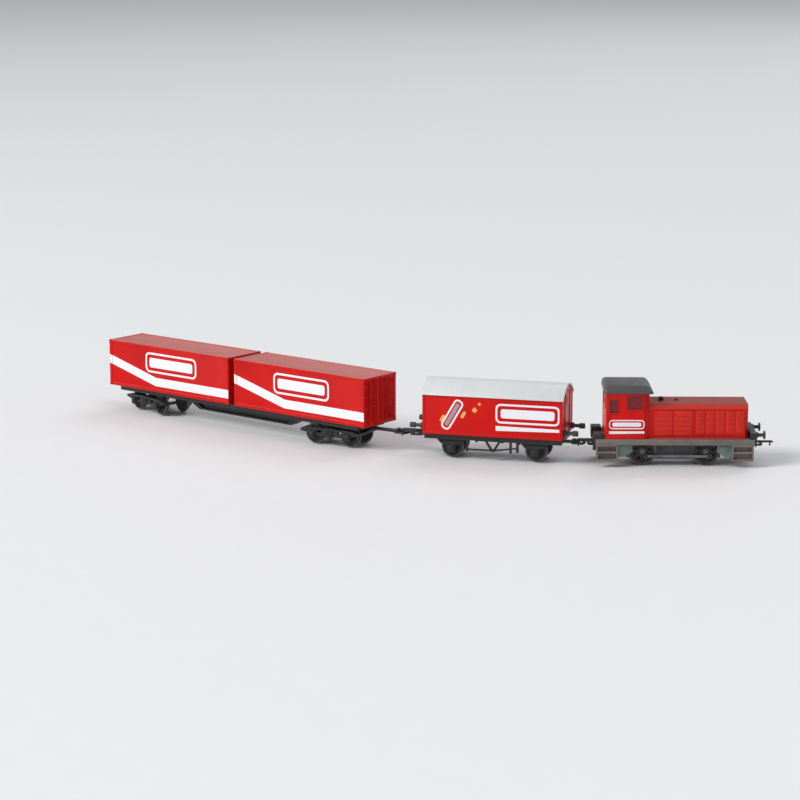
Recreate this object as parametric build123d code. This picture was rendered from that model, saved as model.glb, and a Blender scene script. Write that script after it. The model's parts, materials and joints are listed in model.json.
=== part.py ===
"""A toy train standing in a curve: a shunting locomotive, a box van and a bogie container wagon.

All sizes are millimetres. Each vehicle is built about its own centre, with +X towards the front of the
train, y = 0 on its centre line and z = 0 on top of the rail. It is then set in the curve by its axles or
its bogie pivots, and the whole train is moved so that its origin is below its middle, on the ground.
"""
from build123d import *
import os
from math import asin, atan2, cos, degrees, hypot, pi, radians, sin, sqrt, tan

# ---------------------------------------------------------------- driving dimensions
# Track, wheels and fits
curve_radius = 438.0          # of the curve that the train stands in
back_to_back = 14.5           # between the inner faces of two wheels on one axle
wheel_width = 2.8
flange_width = 0.8
flange_depth = 1.0
running_gap = 0.05            # radial clearance of a shaft or pin that turns
loose_gap = 0.1               # clearance of a piece that is pushed in
shell_wall = 1.2              # wall of every moulded shell

# Coupling: a curved bar with a loop behind it, and a hook that lifts
bar_height = 11.0             # middle of the bar above the rail
bar_thickness = 1.2
bar_radius = 10.0
bar_half_width = 5.0
bar_gap = 0.8                 # between two coupled bars
loop_opening = 3.4
pad_length = 3.4
shank_width = 4.4
hook_offset = 2.0             # each hook is this far to the right of the centre line
hook_thickness = 1.0
hook_depth = 1.2
hook_clearance = 0.3          # between the hook and the bar under it
hook_pin_radius = 0.4
barb_start = 3.4              # measured from the coupling point
barb_length = 0.9
barb_drop = 2.0
hook_reach = 6.0
ear_thickness = 0.8

# Locomotive
loco_length = 95.0
loco_width = 33.0
loco_wheelbase = 38.0
loco_tread_radius = 7.75
loco_axle_radius = 1.5
loco_rear_overhang = 4.5      # end of the footplate to the coupling point, at least
loco_front_overhang = 7.0
footplate_top = 16.5
footplate_thickness = 1.5
valance_depth = 2.0
skirt_thickness = 1.2
hood_width = 27.0
hood_top = 37.3
hood_front = 43.5
hood_shoulder = 3.0
cab_front = -15.5
cab_rear = -41.5
cab_width = 31.0
cab_top = 44.0
cab_corner = 2.8
cab_roof_rise = 5.8
cab_roof_overhang = 1.0
cab_roof_front_overhang = 2.1
step_length = 13.0
step_bottom = 3.3
hook_pocket_half = 7.5
sandbox_length = 8.7
crank_throw = 3.5
crank_angle = -50.0           # of the crank on the right-hand side
crank_pin_radius = 0.8
coupling_rod_height = 2.0
coupling_rod_thickness = 1.0
body_screw_x = 34.0           # one screw towards each end
screw_radius = 1.0
screw_head_radius = 1.9
screw_head_height = 1.2

# Locomotive drive
gear_module = 0.5
gear_width = 2.0
gear_backlash = 0.14
axle_gear_teeth = 20
idler_teeth = 24
pinion_teeth = 10
gear_train_lean = 45.0        # of the line through the three gear centres
gear_plane = 4.5              # distance of the gears from the centre line
motor_radius = 7.5
motor_length = 12.0
motor_wall = 0.8
motor_shaft_radius = 0.75

# Box van
van_length = 86.0
van_width = 33.0
van_wheelbase = 52.0
van_floor = 14.6              # bottom edge of the body
van_side_height = 24.1
van_roof_rise = 8.0
van_roof_thickness = 1.0
van_roof_overhang = 0.8
van_buffer_length = 9.0
van_overhang = 11.9           # end of the body to the coupling point, at least

# Container wagon
wagon_tread_radius = 6.0      # all wheels of the van and the container wagon
wagon_axle_radius = 1.0
journal_radius = 0.6
bogie_spacing = 156.0
bogie_wheelbase = 25.0
bogie_length = 40.0
deck_length = 206.0
deck_width = 26.0
deck_top = 15.3
deck_thickness = 1.5
deck_sill_depth = 3.0
spine_width = 7.0
spine_bottom = 5.6
spine_top_length = 110.0
spine_bottom_length = 80.0
container_length = 108.0
container_width = 31.0
container_height = 30.5
container_gap = 5.0
wagon_overhang = 17.4         # end of a container to the coupling point, at least
bogie_pin_radius = 1.0

# ---------------------------------------------------------------- values that follow
plate_bottom = footplate_top - footplate_thickness
bar_top = bar_height + bar_thickness / 2
bar_bottom = bar_height - bar_thickness / 2
wheel_back = back_to_back / 2
wheel_face = wheel_back + wheel_width
loco_axle_height = loco_tread_radius
wagon_axle_height = wagon_tread_radius
rod_inner = wheel_face + 0.3
hood_half = hood_width / 2
cab_half = cab_width / 2
hook_eye_radius = hook_depth * 0.65
hook_pin_height = bar_top + hook_clearance + hook_depth / 2
pad_front = -(bar_gap / 2 + bar_thickness + loop_opening)
hook_pin_x = pad_front - 2.2
van_floor_thickness = 1.2
loco_front_reach = loco_length / 2 + loco_front_overhang


# ---------------------------------------------------------------- plain shapes
def block(x, y, z):
    """Box between three pairs of limits."""
    size = Box(x[1] - x[0], y[1] - y[0], z[1] - z[0])
    return Pos((x[0] + x[1]) / 2, (y[0] + y[1]) / 2, (z[0] + z[1]) / 2) * size


def rod_x(radius, x, y, z):
    """Cylinder along X between a pair of limits."""
    return Pos((x[0] + x[1]) / 2, y, z) * Rot(0, 90, 0) * Cylinder(radius, x[1] - x[0])


def rod_y(radius, x, y, z):
    """Cylinder along Y between a pair of limits."""
    return Pos(x, (y[0] + y[1]) / 2, z) * Rot(90, 0, 0) * Cylinder(radius, y[1] - y[0])


def rod_z(radius, x, y, z):
    """Cylinder along Z between a pair of limits."""
    return Pos(x, y, (z[0] + z[1]) / 2) * Cylinder(radius, z[1] - z[0])


def side_profile(points, y):
    """Outline in X and Z, as thick as a pair of limits in Y."""
    outline = make_face(Polyline(*points, close=True))
    return extrude(Plane.XZ.offset(-y[1]) * outline, amount=y[1] - y[0])


def end_profile(points, x):
    """Outline in Y and Z, as long as a pair of limits in X."""
    outline = make_face(Polyline(*points, close=True))
    return extrude(Plane.YZ.offset(x[0]) * outline, amount=x[1] - x[0])


def join(*shapes):
    """One piece made of several shapes that meet."""
    return Part() + list(shapes)


def on_both_sides(shape):
    """A shape and its mirror image across the centre line."""
    return join(shape, mirror(shape, about=Plane.XZ))


def at_both_ends(shape):
    """A shape and its copy turned end for end."""
    return join(shape, Rot(0, 0, 180) * shape)


# ---------------------------------------------------------------- wheels
def wheel(tread_radius, bore_radius):
    """Wheel on the left-hand side: flange inside, recessed web and hub outside."""
    flange_end = wheel_back + flange_width
    flange = rod_y(tread_radius + flange_depth, 0, (wheel_back, flange_end), 0)
    flange = chamfer(flange.edges().filter_by(GeomType.CIRCLE), flange_width / 4)
    tread = rod_y(tread_radius, 0, (flange_end, wheel_face), 0)
    rim = tread_radius * 0.8
    hub = tread_radius * 0.36
    recess = rod_y(rim, 0, (wheel_face - 0.7, wheel_face), 0)
    boss = rod_y(hub, 0, (wheel_face - 0.7, wheel_face), 0)
    bore = rod_y(bore_radius, 0, (wheel_back, wheel_face), 0)
    return flange + tread - (recess - boss) - bore


def wagon_wheelset():
    """Two wheels moulded on one axle, with thin journals outside them."""
    journal_end = wheel_face + 2.3
    axle = rod_y(wagon_axle_radius, 0, (-wheel_face, wheel_face), 0)
    journals = rod_y(journal_radius, 0, (-journal_end, journal_end), 0)
    wheels = on_both_sides(wheel(wagon_tread_radius, wagon_axle_radius))
    return Pos(0, 0, wagon_axle_height) * join(wheels, axle, journals)


def bearing_holes(x):
    """What the journals of a wheelset at x leave open in the side frames."""
    reach = wheel_face + 2.3 + running_gap * 3
    hole = rod_y(journal_radius + running_gap, x, (-reach, reach), wagon_axle_height)
    return hole


# ---------------------------------------------------------------- couplings
def coupler(reach, hole_x, hole_radius):
    """Bar, loop, hook ears and shank of a coupling whose coupling point is at x = reach."""
    front = -bar_gap / 2
    middle = front - bar_radius
    z = (bar_bottom, bar_top)
    ring = rod_z(bar_radius, middle, 0, z) - rod_z(bar_radius - bar_thickness, middle, 0, z)
    bar = ring & block((middle, front), (-bar_half_width, bar_half_width), z)
    arm_front = front - (bar_radius - sqrt(bar_radius**2 - bar_half_width**2)) - 0.3
    arm = block((pad_front - pad_length, arm_front), (bar_half_width - 1, bar_half_width), z)
    pad = block((pad_front - pad_length, pad_front), (-bar_half_width, bar_half_width), z)
    tail = hole_x - reach
    shank = block((tail, pad_front - 1), (-shank_width / 2, shank_width / 2), z)
    eye = rod_z(shank_width / 2 + 0.4, tail, 0, z)
    pieces = [bar, arm, mirror(arm, about=Plane.XZ), pad, shank, eye]
    ear_inner = hook_thickness / 2 + loose_gap
    ear_x = (hook_pin_x - 1, hook_pin_x + 1)
    ear_z = (bar_bottom, hook_pin_height + hook_eye_radius)
    for side in (-1, 1):
        near = -hook_offset + side * ear_inner
        far = -hook_offset + side * (ear_inner + ear_thickness)
        pieces.append(block(ear_x, (min(near, far), max(near, far)), ear_z))
    pin_half = ear_inner + ear_thickness
    pin_y = (-hook_offset - pin_half, -hook_offset + pin_half)
    pieces.append(rod_y(hook_pin_radius, hook_pin_x, pin_y, hook_pin_height))
    moulding = join(*pieces) - rod_z(hole_radius, tail, 0, z)
    return Pos(reach, 0, 0) * moulding


def hook(reach):
    """Lifting hook with its barb, its dropper and the eye that it turns on."""
    low = bar_top + hook_clearance
    high = low + hook_depth
    barb_end = barb_start + barb_length
    barb_low = low - barb_drop
    dropper_back = pad_front + 0.2
    dropper_front = dropper_back + 0.7
    dropper_low = bar_bottom - 1.5
    y = (-hook_offset - hook_thickness / 2, -hook_offset + hook_thickness / 2)
    outline = [
        (hook_pin_x, high), (barb_end + 0.6, high), (hook_reach, low + 0.5), (hook_reach - 0.3, low),
        (barb_end, low), (barb_end, barb_low + 0.5), (barb_end - 0.5, barb_low), (barb_start, barb_low),
        (barb_start, low), (dropper_front, low), (dropper_front, dropper_low),
        (dropper_back, dropper_low), (dropper_back, low), (hook_pin_x, low),
    ]
    eye = rod_y(hook_eye_radius, hook_pin_x, y, hook_pin_height)
    bore = rod_y(hook_pin_radius + running_gap, hook_pin_x, y, hook_pin_height)
    return Pos(reach, 0, 0) * (join(side_profile(outline, y), eye) - bore)


def turned(shape):
    """The same piece at the other end of its vehicle."""
    return Rot(0, 0, 180) * shape


# ---------------------------------------------------------------- locomotive, upper parts
def hood_section(inset):
    """Corners of the hood's cross section, inset by a wall."""
    half = hood_half - inset
    top = hood_top - inset
    shoulder = hood_shoulder - inset * 0.4
    low = footplate_top
    return [(-half, low), (half, low), (half, top - shoulder), (half - shoulder, top),
            (-half + shoulder, top), (-half, top - shoulder)]


def louvre_panels(front, rear, count, low, high, slats):
    """Raised doors along the hood's right-hand side, each with a column of slats."""
    pitch = (front - rear) / count
    panels = []
    for number in range(count):
        x0 = rear + number * pitch + 0.4
        x1 = rear + (number + 1) * pitch - 0.4
        panels.append(block((x0, x1), (-hood_half - 0.25, -hood_half + 0.2), (low, high)))
        for slat in range(slats):
            z = low + (slat + 1) * (high - low) / (slats + 1)
            y = (-hood_half - 0.55, -hood_half)
            panels.append(block((x0 + 0.7, x1 - 0.7), y, (z - 0.25, z + 0.25)))
    return panels


def loco_body_shell():
    """Hood and cab in one hollow moulding, open below, with posts for the two body screws."""
    hood = end_profile(hood_section(0), (cab_front - shell_wall, hood_front))
    hood = chamfer(hood.faces().sort_by(Axis.X)[-1].edges().filter_by(Axis.Z), 1.6)
    cab = block((cab_rear, cab_front), (-cab_half, cab_half), (footplate_top, cab_top))
    cab = chamfer(cab.edges().filter_by(Axis.Z).group_by(Axis.X)[-1], cab_corner)
    hollow_hood = end_profile(hood_section(shell_wall), (cab_front - 2 * shell_wall, hood_front - shell_wall))
    hollow_cab = block((cab_rear + shell_wall, cab_front - shell_wall),
                       (-cab_half + shell_wall, cab_half - shell_wall), (footplate_top, cab_top))
    hollow_cab = chamfer(hollow_cab.edges().filter_by(Axis.Z).group_by(Axis.X)[-1], cab_corner - 0.4)
    bulkhead_low = footplate_top + 9
    bulkhead = block((cab_front - shell_wall, cab_front), (-hood_half + 0.5, hood_half - 0.5),
                     (bulkhead_low, hood_top - 1))
    doors = louvre_panels(10.5, -13, 2, 18.5, 33.5, 4)
    grilles = louvre_panels(41.5, 12, 5, 19.5, 33.5, 8)
    sides = on_both_sides(join(*doors, *grilles))
    lip_height = 1.2
    lip = block((cab_rear - 0.3, cab_front - cab_corner), (-cab_half - 0.3, cab_half + 0.3),
                (footplate_top, footplate_top + lip_height))
    shell = join(hood, cab, lip, sides) - hollow_hood - hollow_cab + bulkhead
    front_post = rod_z(2.5, body_screw_x, 0, (footplate_top, hood_top - shell_wall / 2))
    rear_post = rod_z(2.5, -body_screw_x, 0, (footplate_top, footplate_top + 7))
    web = block((cab_rear + shell_wall / 2, -body_screw_x), (-0.8, 0.8), (footplate_top, footplate_top + 7))
    shell = join(shell, front_post, rear_post, web)
    for x in (-body_screw_x, body_screw_x):
        shell -= rod_z(screw_radius + running_gap, x, 0, (footplate_top, footplate_top + 6))
    for opening in window_openings():
        shell -= opening
    grille_half = hood_half * 0.62
    shell -= block((hood_front - 0.6, hood_front), (-grille_half, grille_half), (20, 33))
    for x, radius in ((exhaust_x, 1.2), (filler_x, 0.8)):
        shell -= rod_z(radius + running_gap, x, 0, (hood_top - shell_wall, hood_top))
    return shell


exhaust_x = -7.5
filler_x = 1.5
side_windows = [((-39.6, -34.1), (32.3, 40.9)), ((-29.0, -19.5), (34.5, 42.6))]
front_window = ((5.0, 12.0), (38.6, 42.4))
rear_window = ((3.0, 11.5), (33.5, 41.5))


def window_openings():
    """The cab's windows: two in each side, two in its front and two in its rear."""
    outside = cab_half + 1
    openings = [block(x, (-outside, outside), z) for x, z in side_windows]
    through = shell_wall + 0.3
    for side in (-1, 1):
        for y, z, wall in ((*front_window, cab_front), (*rear_window, cab_rear)):
            edges = sorted((side * y[0], side * y[1]))
            openings.append(block((wall - through, wall + through), edges, z))
    return openings


def cab_windows():
    """Clear insert: a sleeve that lines the cab and shows at each window."""
    gap = loose_gap / 2
    outer = [shell_wall + gap, shell_wall + gap + 0.8]
    low, high = 31.5, cab_top - 1.2
    boxes = []
    for inset in outer:
        box = block((cab_rear + inset, cab_front - inset), (-cab_half + inset, cab_half - inset), (low, high))
        boxes.append(chamfer(box.edges().filter_by(Axis.Z).group_by(Axis.X)[-1], cab_corner - 0.3))
    sleeve = boxes[0] - boxes[1]
    passage = block((cab_front - 4, cab_front), (-hood_half + 1, hood_half - 1), (low, hood_top - 1))
    return sleeve - passage


def cab_roof():
    """Domed roof with steep shoulders and a sloping front, plugged into the cab."""
    half = cab_half + cab_roof_overhang / 2
    top = cab_top + cab_roof_rise
    section = [(-half, cab_top), (half, cab_top), (half, cab_top + 1.2), (half - 3.6, top - 0.7), (0, top),
               (-half + 3.6, top - 0.7), (-half, cab_top + 1.2)]
    x = (cab_rear - cab_roof_overhang, cab_front + cab_roof_front_overhang)
    roof = end_profile(section, x)
    shoulders = roof.edges().filter_by(Axis.X).group_by(Axis.Z)[-2]
    roof = fillet(shoulders, 3.0)
    slope = side_profile([(x[1] + 1, cab_top), (x[1] + 1, top + 1), (x[1] - 3.6, top + 1),
                          (x[1] - 3.1, top), (x[1], cab_top + 0.8), (x[1], cab_top)], (-half - 1, half + 1))
    roof = roof - slope
    rear_edges = roof.faces().sort_by(Axis.X)[0].edges().group_by(Axis.Z)[1:]
    roof = chamfer([edge for group in rear_edges for edge in group], 0.5)
    inset = shell_wall + loose_gap
    plug = block((cab_rear + inset, cab_front - inset), (-cab_half + inset, cab_half - inset),
                 (cab_top - 1, cab_top + 0.5))
    plug = chamfer(plug.edges().filter_by(Axis.Z).group_by(Axis.X)[-1], cab_corner - 0.3)
    return join(roof, plug)


def radiator_grille():
    """Frame and upright bars let into the hood's front."""
    half = hood_half * 0.62 - loose_gap
    x = (hood_front - 0.6, hood_front + 0.3)
    z = (20 + loose_gap, 33 - loose_gap)
    frame = block(x, (-half, half), z) - block(x, (-half + 1, half - 1), (z[0] + 1, z[1] - 1))
    back = block((x[0], x[0] + 0.4), (-half, half), z)
    bars = 9
    pitch = (2 * half - 2) / (bars + 1)
    slats = [block((x[0], x[1] - 0.1), (-half + 1 + k * pitch - 0.3, -half + 1 + k * pitch + 0.3), z)
             for k in range(1, bars + 1)]
    return join(frame, back, *slats)


def exhaust_and_filler():
    """Exhaust stub and filler cap, plugged into the top of the hood."""
    plug_low = hood_top - shell_wall
    stub = rod_z(1.5, exhaust_x, 0, (hood_top, hood_top + 2)) + rod_z(1.2, exhaust_x, 0, (plug_low, hood_top))
    stub -= rod_z(0.9, exhaust_x, 0, (hood_top + 0.6, hood_top + 2))
    cap = rod_z(1.1, filler_x, 0, (hood_top, hood_top + 0.9)) + rod_z(0.8, filler_x, 0, (plug_low, hood_top))
    return Part() + [stub, cap]


# ---------------------------------------------------------------- locomotive, footplate and ends
def footplate():
    """Running plate with a skirt round it and an opening for the wheels and the frame."""
    half_length = loco_length / 2
    half_width = loco_width / 2
    low = plate_bottom - valance_depth
    plate = block((-half_length, half_length), (-half_width, half_width), (low, footplate_top))
    under = block((-half_length + skirt_thickness, half_length - skirt_thickness),
                  (-half_width + skirt_thickness, half_width - skirt_thickness), (low, plate_bottom))
    wheel_reach = loco_wheelbase / 2 + loco_tread_radius + flange_depth + 1.2
    opening = block((-wheel_reach, wheel_reach), (-hood_half + 2, hood_half - 2), (low, footplate_top))
    notch = bar_half_width + 0.5
    coupling_way = block((-half_length, half_length), (-notch, notch), (low, plate_bottom))
    plate = plate - under - opening - coupling_way - rear_hook_pocket()
    for x in (-body_screw_x, body_screw_x):
        plate -= rod_z(screw_radius + loose_gap, x, 0, (plate_bottom, footplate_top))
    return plate


def rear_hook_pocket():
    """Room at the rear end for the hook of the vehicle behind, when it is lifted."""
    end = loco_length / 2
    depth = hook_reach - loco_rear_overhang + 2
    return block((-end - 2, -end + depth), (-hook_pocket_half, hook_pocket_half), (plate_bottom, footplate_top))


def loco_steps():
    """Steps at the four corners, each with the sand box beside it."""
    outer = loco_length / 2 - 0.5
    inner = outer - step_length
    back = 12.4
    side = loco_width / 2
    skirt_low = plate_bottom - valance_depth
    wall = block((inner, outer), (-back - 1, -back), (step_bottom, skirt_low))
    tab = block((inner, loco_length / 2 - skirt_thickness), (-back - 1, -back), (skirt_low, plate_bottom))
    treads = [block((inner, outer), (-side, -back), (z, z + 1.1)) for z in (step_bottom, step_bottom + 4.6)]
    cheeks = [block((x, x + 1), (-side, -back), (step_bottom, skirt_low)) for x in (inner, outer - 1)]
    head = block((inner, outer), (-side, -back), (skirt_low - 1, skirt_low))
    sandbox = side_profile([(inner - sandbox_length, plate_bottom), (inner, plate_bottom), (inner, 5.5),
                            (inner - 4, 5.5), (inner - sandbox_length, 8.5)], (-side + 1.6, -back - 0.2))
    corner = join(wall, tab, *treads, *cheeks, head, sandbox)
    front = on_both_sides(corner)
    return join(front, turned(front))


def loco_buffer_beams():
    """Black end beams with the boxes that stand on the footplate beside them."""
    end = loco_length / 2
    notch = bar_half_width + 0.5
    half = loco_width / 2 - 0.4
    low = plate_bottom - valance_depth - 0.4
    front = block((end, end + 1.2), (-half, half), (low, footplate_top + 4))
    front += block((end - 2.8, end), (-half, half), (footplate_top, footplate_top + 4))
    rear = block((-end - 1.2, -end), (-half, half), (low, footplate_top))
    boxes = block((-end - 1.2, -end + 5.0), (-half, -hook_pocket_half - 0.5), (footplate_top, footplate_top + 2.6))
    boxes = chamfer(boxes.edges().filter_by(Axis.Y).group_by(Axis.Z)[-1], 0.4)
    rear = join(rear, on_both_sides(boxes))
    coupling_way = block((-end - 2, end + 2), (-notch, notch), (low, plate_bottom + 0.2))
    screw_heads = [rod_x(0.5, (end + 1, end + 1.5), side * y, 15.2) for side in (-1, 1) for y in (7.5, 9.5)]
    return Part() + [join(front, *screw_heads) - coupling_way, rear - coupling_way - rear_hook_pocket()]


def loco_buffers():
    """Front buffers: a collar on the beam, a round shank and a larger head."""
    start = loco_length / 2 + 1.2
    height = footplate_top + 2
    spacing = 11.5
    collar = rod_x(1.8, (start, start + 1.2), -spacing, height)
    shank = rod_x(1.1, (start, start + 5), -spacing, height)
    head = rod_x(2.6, (start + 4.4, start + 5.4), -spacing, height)
    head = fillet(head.edges().sort_by(Axis.X)[-1:], 0.4)
    return on_both_sides(join(collar, shank, head))


# ---------------------------------------------------------------- locomotive, frame and drive
rear_axle_x = -loco_wheelbase / 2
front_axle_x = loco_wheelbase / 2
frame_half_width = wheel_back - 0.35
frame_bottom = 3.4
frame_top = 13.4
lean = radians(gear_train_lean)


def along_gear_train(distance):
    """Point on the line of gear centres, measured from the rear axle."""
    return rear_axle_x + distance * cos(lean), loco_axle_height + distance * sin(lean)


idler_distance = gear_module * (axle_gear_teeth + idler_teeth) / 2
pinion_distance = idler_distance + gear_module * (idler_teeth + pinion_teeth) / 2
idler_x, idler_z = along_gear_train(idler_distance)
motor_x, motor_z = along_gear_train(pinion_distance)
gear_y = (gear_plane - gear_width / 2, gear_plane + gear_width / 2)
slot_y = (gear_y[0] - 0.2, gear_y[1] + 0.2)
motor_end = slot_y[0] - 1.6
motor_y = (motor_end - motor_length, motor_end)
weight_bottom = 18.0


def gear(teeth, bore_radius, first_tooth, x, z):
    """Spur gear about Y with one tooth at a given angle from X towards Z."""
    pitch_radius = gear_module * teeth / 2
    root = pitch_radius - 1.15 * gear_module
    tip = pitch_radius + 0.85 * gear_module
    points = []
    for number in range(teeth):
        middle = radians(first_tooth + 360 / teeth * number)
        for radius, side in ((root, -1), (tip, -1), (tip, 1), (root, 1)):
            half = pi * gear_module / 4 - gear_backlash / 2 - (radius - pitch_radius) * tan(radians(20))
            angle = middle + side * half / radius
            points.append((radius * cos(angle), radius * sin(angle)))
    blank = side_profile(points, gear_y) - rod_y(bore_radius, 0, gear_y, 0)
    return Pos(x, 0, z) * blank


def loco_frame():
    """Die-cast block: axle slots, motor saddle, gear cheeks, weight seat and end lugs."""
    half = frame_half_width
    front_end = front_axle_x + loco_tread_radius + flange_depth + 0.5
    body = block((-front_end, front_end), (-half, half), (frame_bottom, frame_top))
    seat_half = loco_tread_radius + flange_depth + 0.25
    seat = block((front_axle_x - seat_half, front_axle_x + seat_half), (-half, half), (frame_top, weight_bottom))
    lug_end = body_screw_x + 4
    lugs = [block(sorted((side * (front_end - 1), side * lug_end)), (-5.5, 5.5), (bar_top, plate_bottom))
            for side in (-1, 1)]
    saddle = block((motor_x - motor_radius - 1.2, motor_x + motor_radius + 1.2), (-half, motor_y[1] - 0.5),
                   (frame_top, motor_z - 1))
    cheeks = block((idler_x - 3.5, idler_x + 3), (slot_y[0] - 1.2, half), (frame_top, idler_z + 3))
    casting = join(body, seat, *lugs, saddle, cheeks)
    casting -= rod_y(motor_radius + loose_gap, motor_x, motor_y, motor_z)
    gear_reach = gear_module * (idler_teeth / 2 + 1) + 0.3
    axle_reach = gear_module * (axle_gear_teeth / 2 + 1) + 0.3
    casting -= rod_y(gear_reach, idler_x, slot_y, idler_z)
    casting -= rod_y(axle_reach, rear_axle_x, slot_y, loco_axle_height)
    casting -= block((rear_axle_x - axle_reach, rear_axle_x + axle_reach), slot_y, (frame_bottom, loco_axle_height))
    for x in (rear_axle_x, front_axle_x):
        slot = loco_axle_radius + running_gap
        casting -= rod_y(slot, x, (-half, half), loco_axle_height)
        casting -= block((x - slot, x + slot), (-half, half), (frame_bottom, loco_axle_height))
    casting -= rod_y(0.75, idler_x, (slot_y[0] - 1.2, half), idler_z)
    for x in (-body_screw_x, body_screw_x):
        casting -= rod_z(screw_radius + loose_gap, x, 0, (bar_top, plate_bottom))
    for x in (-10, 10):
        casting -= rod_z(keeper_screw_radius, x, 0, (frame_bottom, frame_bottom + 5))
    return casting


keeper_screw_radius = 0.8


def keeper_plate():
    """Plate under the frame whose bosses close the axle slots."""
    low = frame_bottom - 0.9
    plate = block((-front_axle_x - 6, front_axle_x + 6), (-frame_half_width + 0.4, frame_half_width - 0.4),
                  (low, frame_bottom))
    for x in (rear_axle_x, front_axle_x):
        slot = loco_axle_radius - loose_gap
        top = loco_axle_height - loco_axle_radius - running_gap
        plate += block((x - slot, x + slot), (-frame_half_width + 1, 2.4), (frame_bottom - 0.3, top))
    for x in (-10, 10):
        plate -= rod_z(keeper_screw_radius + loose_gap, x, 0, (low, frame_bottom))
    opening = gear_module * (axle_gear_teeth / 2 + 1) + 0.3
    plate -= block((rear_axle_x - opening, rear_axle_x + opening), slot_y, (low, frame_bottom))
    return plate


def pickup_strips():
    """Two springy strips beside the frame that touch the backs of the wheels and reach up to the motor."""
    y = (-frame_half_width - 0.2, -frame_half_width)
    strip = block((-front_axle_x + 4, front_axle_x - 4), y, (10.6, 12.2))
    wiper = block((front_axle_x - 4.5, front_axle_x - 4), y, (10.6, 12.2))
    can_bottom = motor_z - sqrt(motor_radius**2 - (motor_x + 1) ** 2)
    riser = block((-1, 1), y, (12, can_bottom - 0.5))
    strip = join(strip, wiper, riser)
    other = block((-front_axle_x + 4, front_axle_x - 4), (frame_half_width, frame_half_width + 0.2), (10.6, 12.2))
    riser = block((4.5, 6), (frame_half_width, frame_half_width + 0.2), (12, frame_top + 3))
    return Part() + [strip, join(other, riser)]


def motor_can():
    """Round can with bearings for the shaft in both ends."""
    can = rod_y(motor_radius, motor_x, motor_y, motor_z)
    can -= rod_y(motor_radius - motor_wall, motor_x, (motor_y[0] + motor_wall, motor_y[1] - motor_wall), motor_z)
    return can - rod_y(motor_shaft_radius + running_gap, motor_x, motor_y, motor_z)


def motor_magnets():
    """Two curved magnets inside the can."""
    y = (motor_y[0] + 2, motor_y[1] - 2)
    ring = rod_y(motor_radius - motor_wall, motor_x, y, motor_z) - rod_y(motor_radius - 2.3, motor_x, y, motor_z)
    gap = 2.4
    ring -= block((motor_x - motor_radius, motor_x + motor_radius), y, (motor_z - gap, motor_z + gap))
    return ring


def motor_armature():
    """Shaft with the three-pole core that turns between the magnets."""
    shaft = rod_y(motor_shaft_radius, motor_x, (motor_y[0] - 0.8, gear_y[1] + 0.4), motor_z)
    core_y = (motor_y[0] + 2.5, motor_y[1] - 2.5)
    core = rod_y(motor_radius - 2.6, motor_x, core_y, motor_z)
    for number in range(3):
        slot = Pos(motor_x, 0, motor_z) * Rot(0, 120 * number, 0) * block((2.2, motor_radius), core_y, (-0.5, 0.5))
        core -= slot
    return join(shaft, core)


def loco_wheel(crank):
    """Driving wheel on the left-hand side, with holes in its web and its crank pin."""
    blank = wheel(loco_tread_radius, loco_axle_radius)
    holes = 8
    for number in range(holes):
        angle = radians(crank + 360 / holes * (number + 0.5))
        x, z = 4.5 * cos(angle), 4.5 * sin(angle)
        blank -= rod_y(0.95, x, (wheel_back, wheel_face), z)
    x = crank_throw * cos(radians(crank))
    z = crank_throw * sin(radians(crank))
    rod_outer = rod_inner + coupling_rod_thickness
    boss = rod_y(1.5, x, (wheel_face - 1, wheel_face + 0.15), z)
    pin = rod_y(crank_pin_radius, x, (wheel_face - 1, rod_outer + 0.6), z)
    head = rod_y(crank_pin_radius + 0.35, x, (rod_outer + 0.15, rod_outer + 0.6), z)
    return join(blank, boss, pin, head)


def loco_wheel_pair():
    """Both wheels of an axle, with their cranks a quarter turn apart."""
    left = loco_wheel(crank_angle + 90)
    right = mirror(loco_wheel(crank_angle), about=Plane.XZ)
    return Part() + [left, right]


def coupling_rod(crank):
    """Rod on the left-hand side that ties the two crank pins together."""
    x = crank_throw * cos(radians(crank))
    z = loco_axle_height + crank_throw * sin(radians(crank))
    y = (rod_inner, rod_inner + coupling_rod_thickness)
    middle = y[1] - 0.25
    bar = block((rear_axle_x + x, front_axle_x + x), (y[0], middle),
                (z - coupling_rod_height / 2 + 0.2, z + coupling_rod_height / 2 - 0.2))
    eyes = [rod_y(coupling_rod_height / 2 + 0.4, end + x, y, z) for end in (rear_axle_x, front_axle_x)]
    rod = join(bar, *eyes)
    for end in (rear_axle_x, front_axle_x):
        rod -= rod_y(crank_pin_radius + running_gap, end + x, y, z)
    return rod


def screw_up(x, low, length, radius, head_radius, head_height):
    """Screw driven upwards, with its slotted head below."""
    shaft = rod_z(radius, x, 0, (low, low + length))
    head = rod_z(head_radius, x, 0, (low - head_height, low))
    slot = block((x - head_radius, x + head_radius), (-0.25, 0.25), (low - head_height, low - head_height + 0.5))
    return join(shaft, head) - slot


def loco_screws():
    """Two body screws and two keeper screws."""
    length = footplate_top + 5 - bar_bottom
    screws = [screw_up(x, bar_bottom, length, screw_radius, screw_head_radius, screw_head_height)
              for x in (-body_screw_x, body_screw_x)]
    keeper_low = frame_bottom - 0.9
    screws += [screw_up(x, keeper_low, 5, keeper_screw_radius - running_gap, 1.5, 0.7) for x in (-10, 10)]
    return Part() + screws


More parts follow.
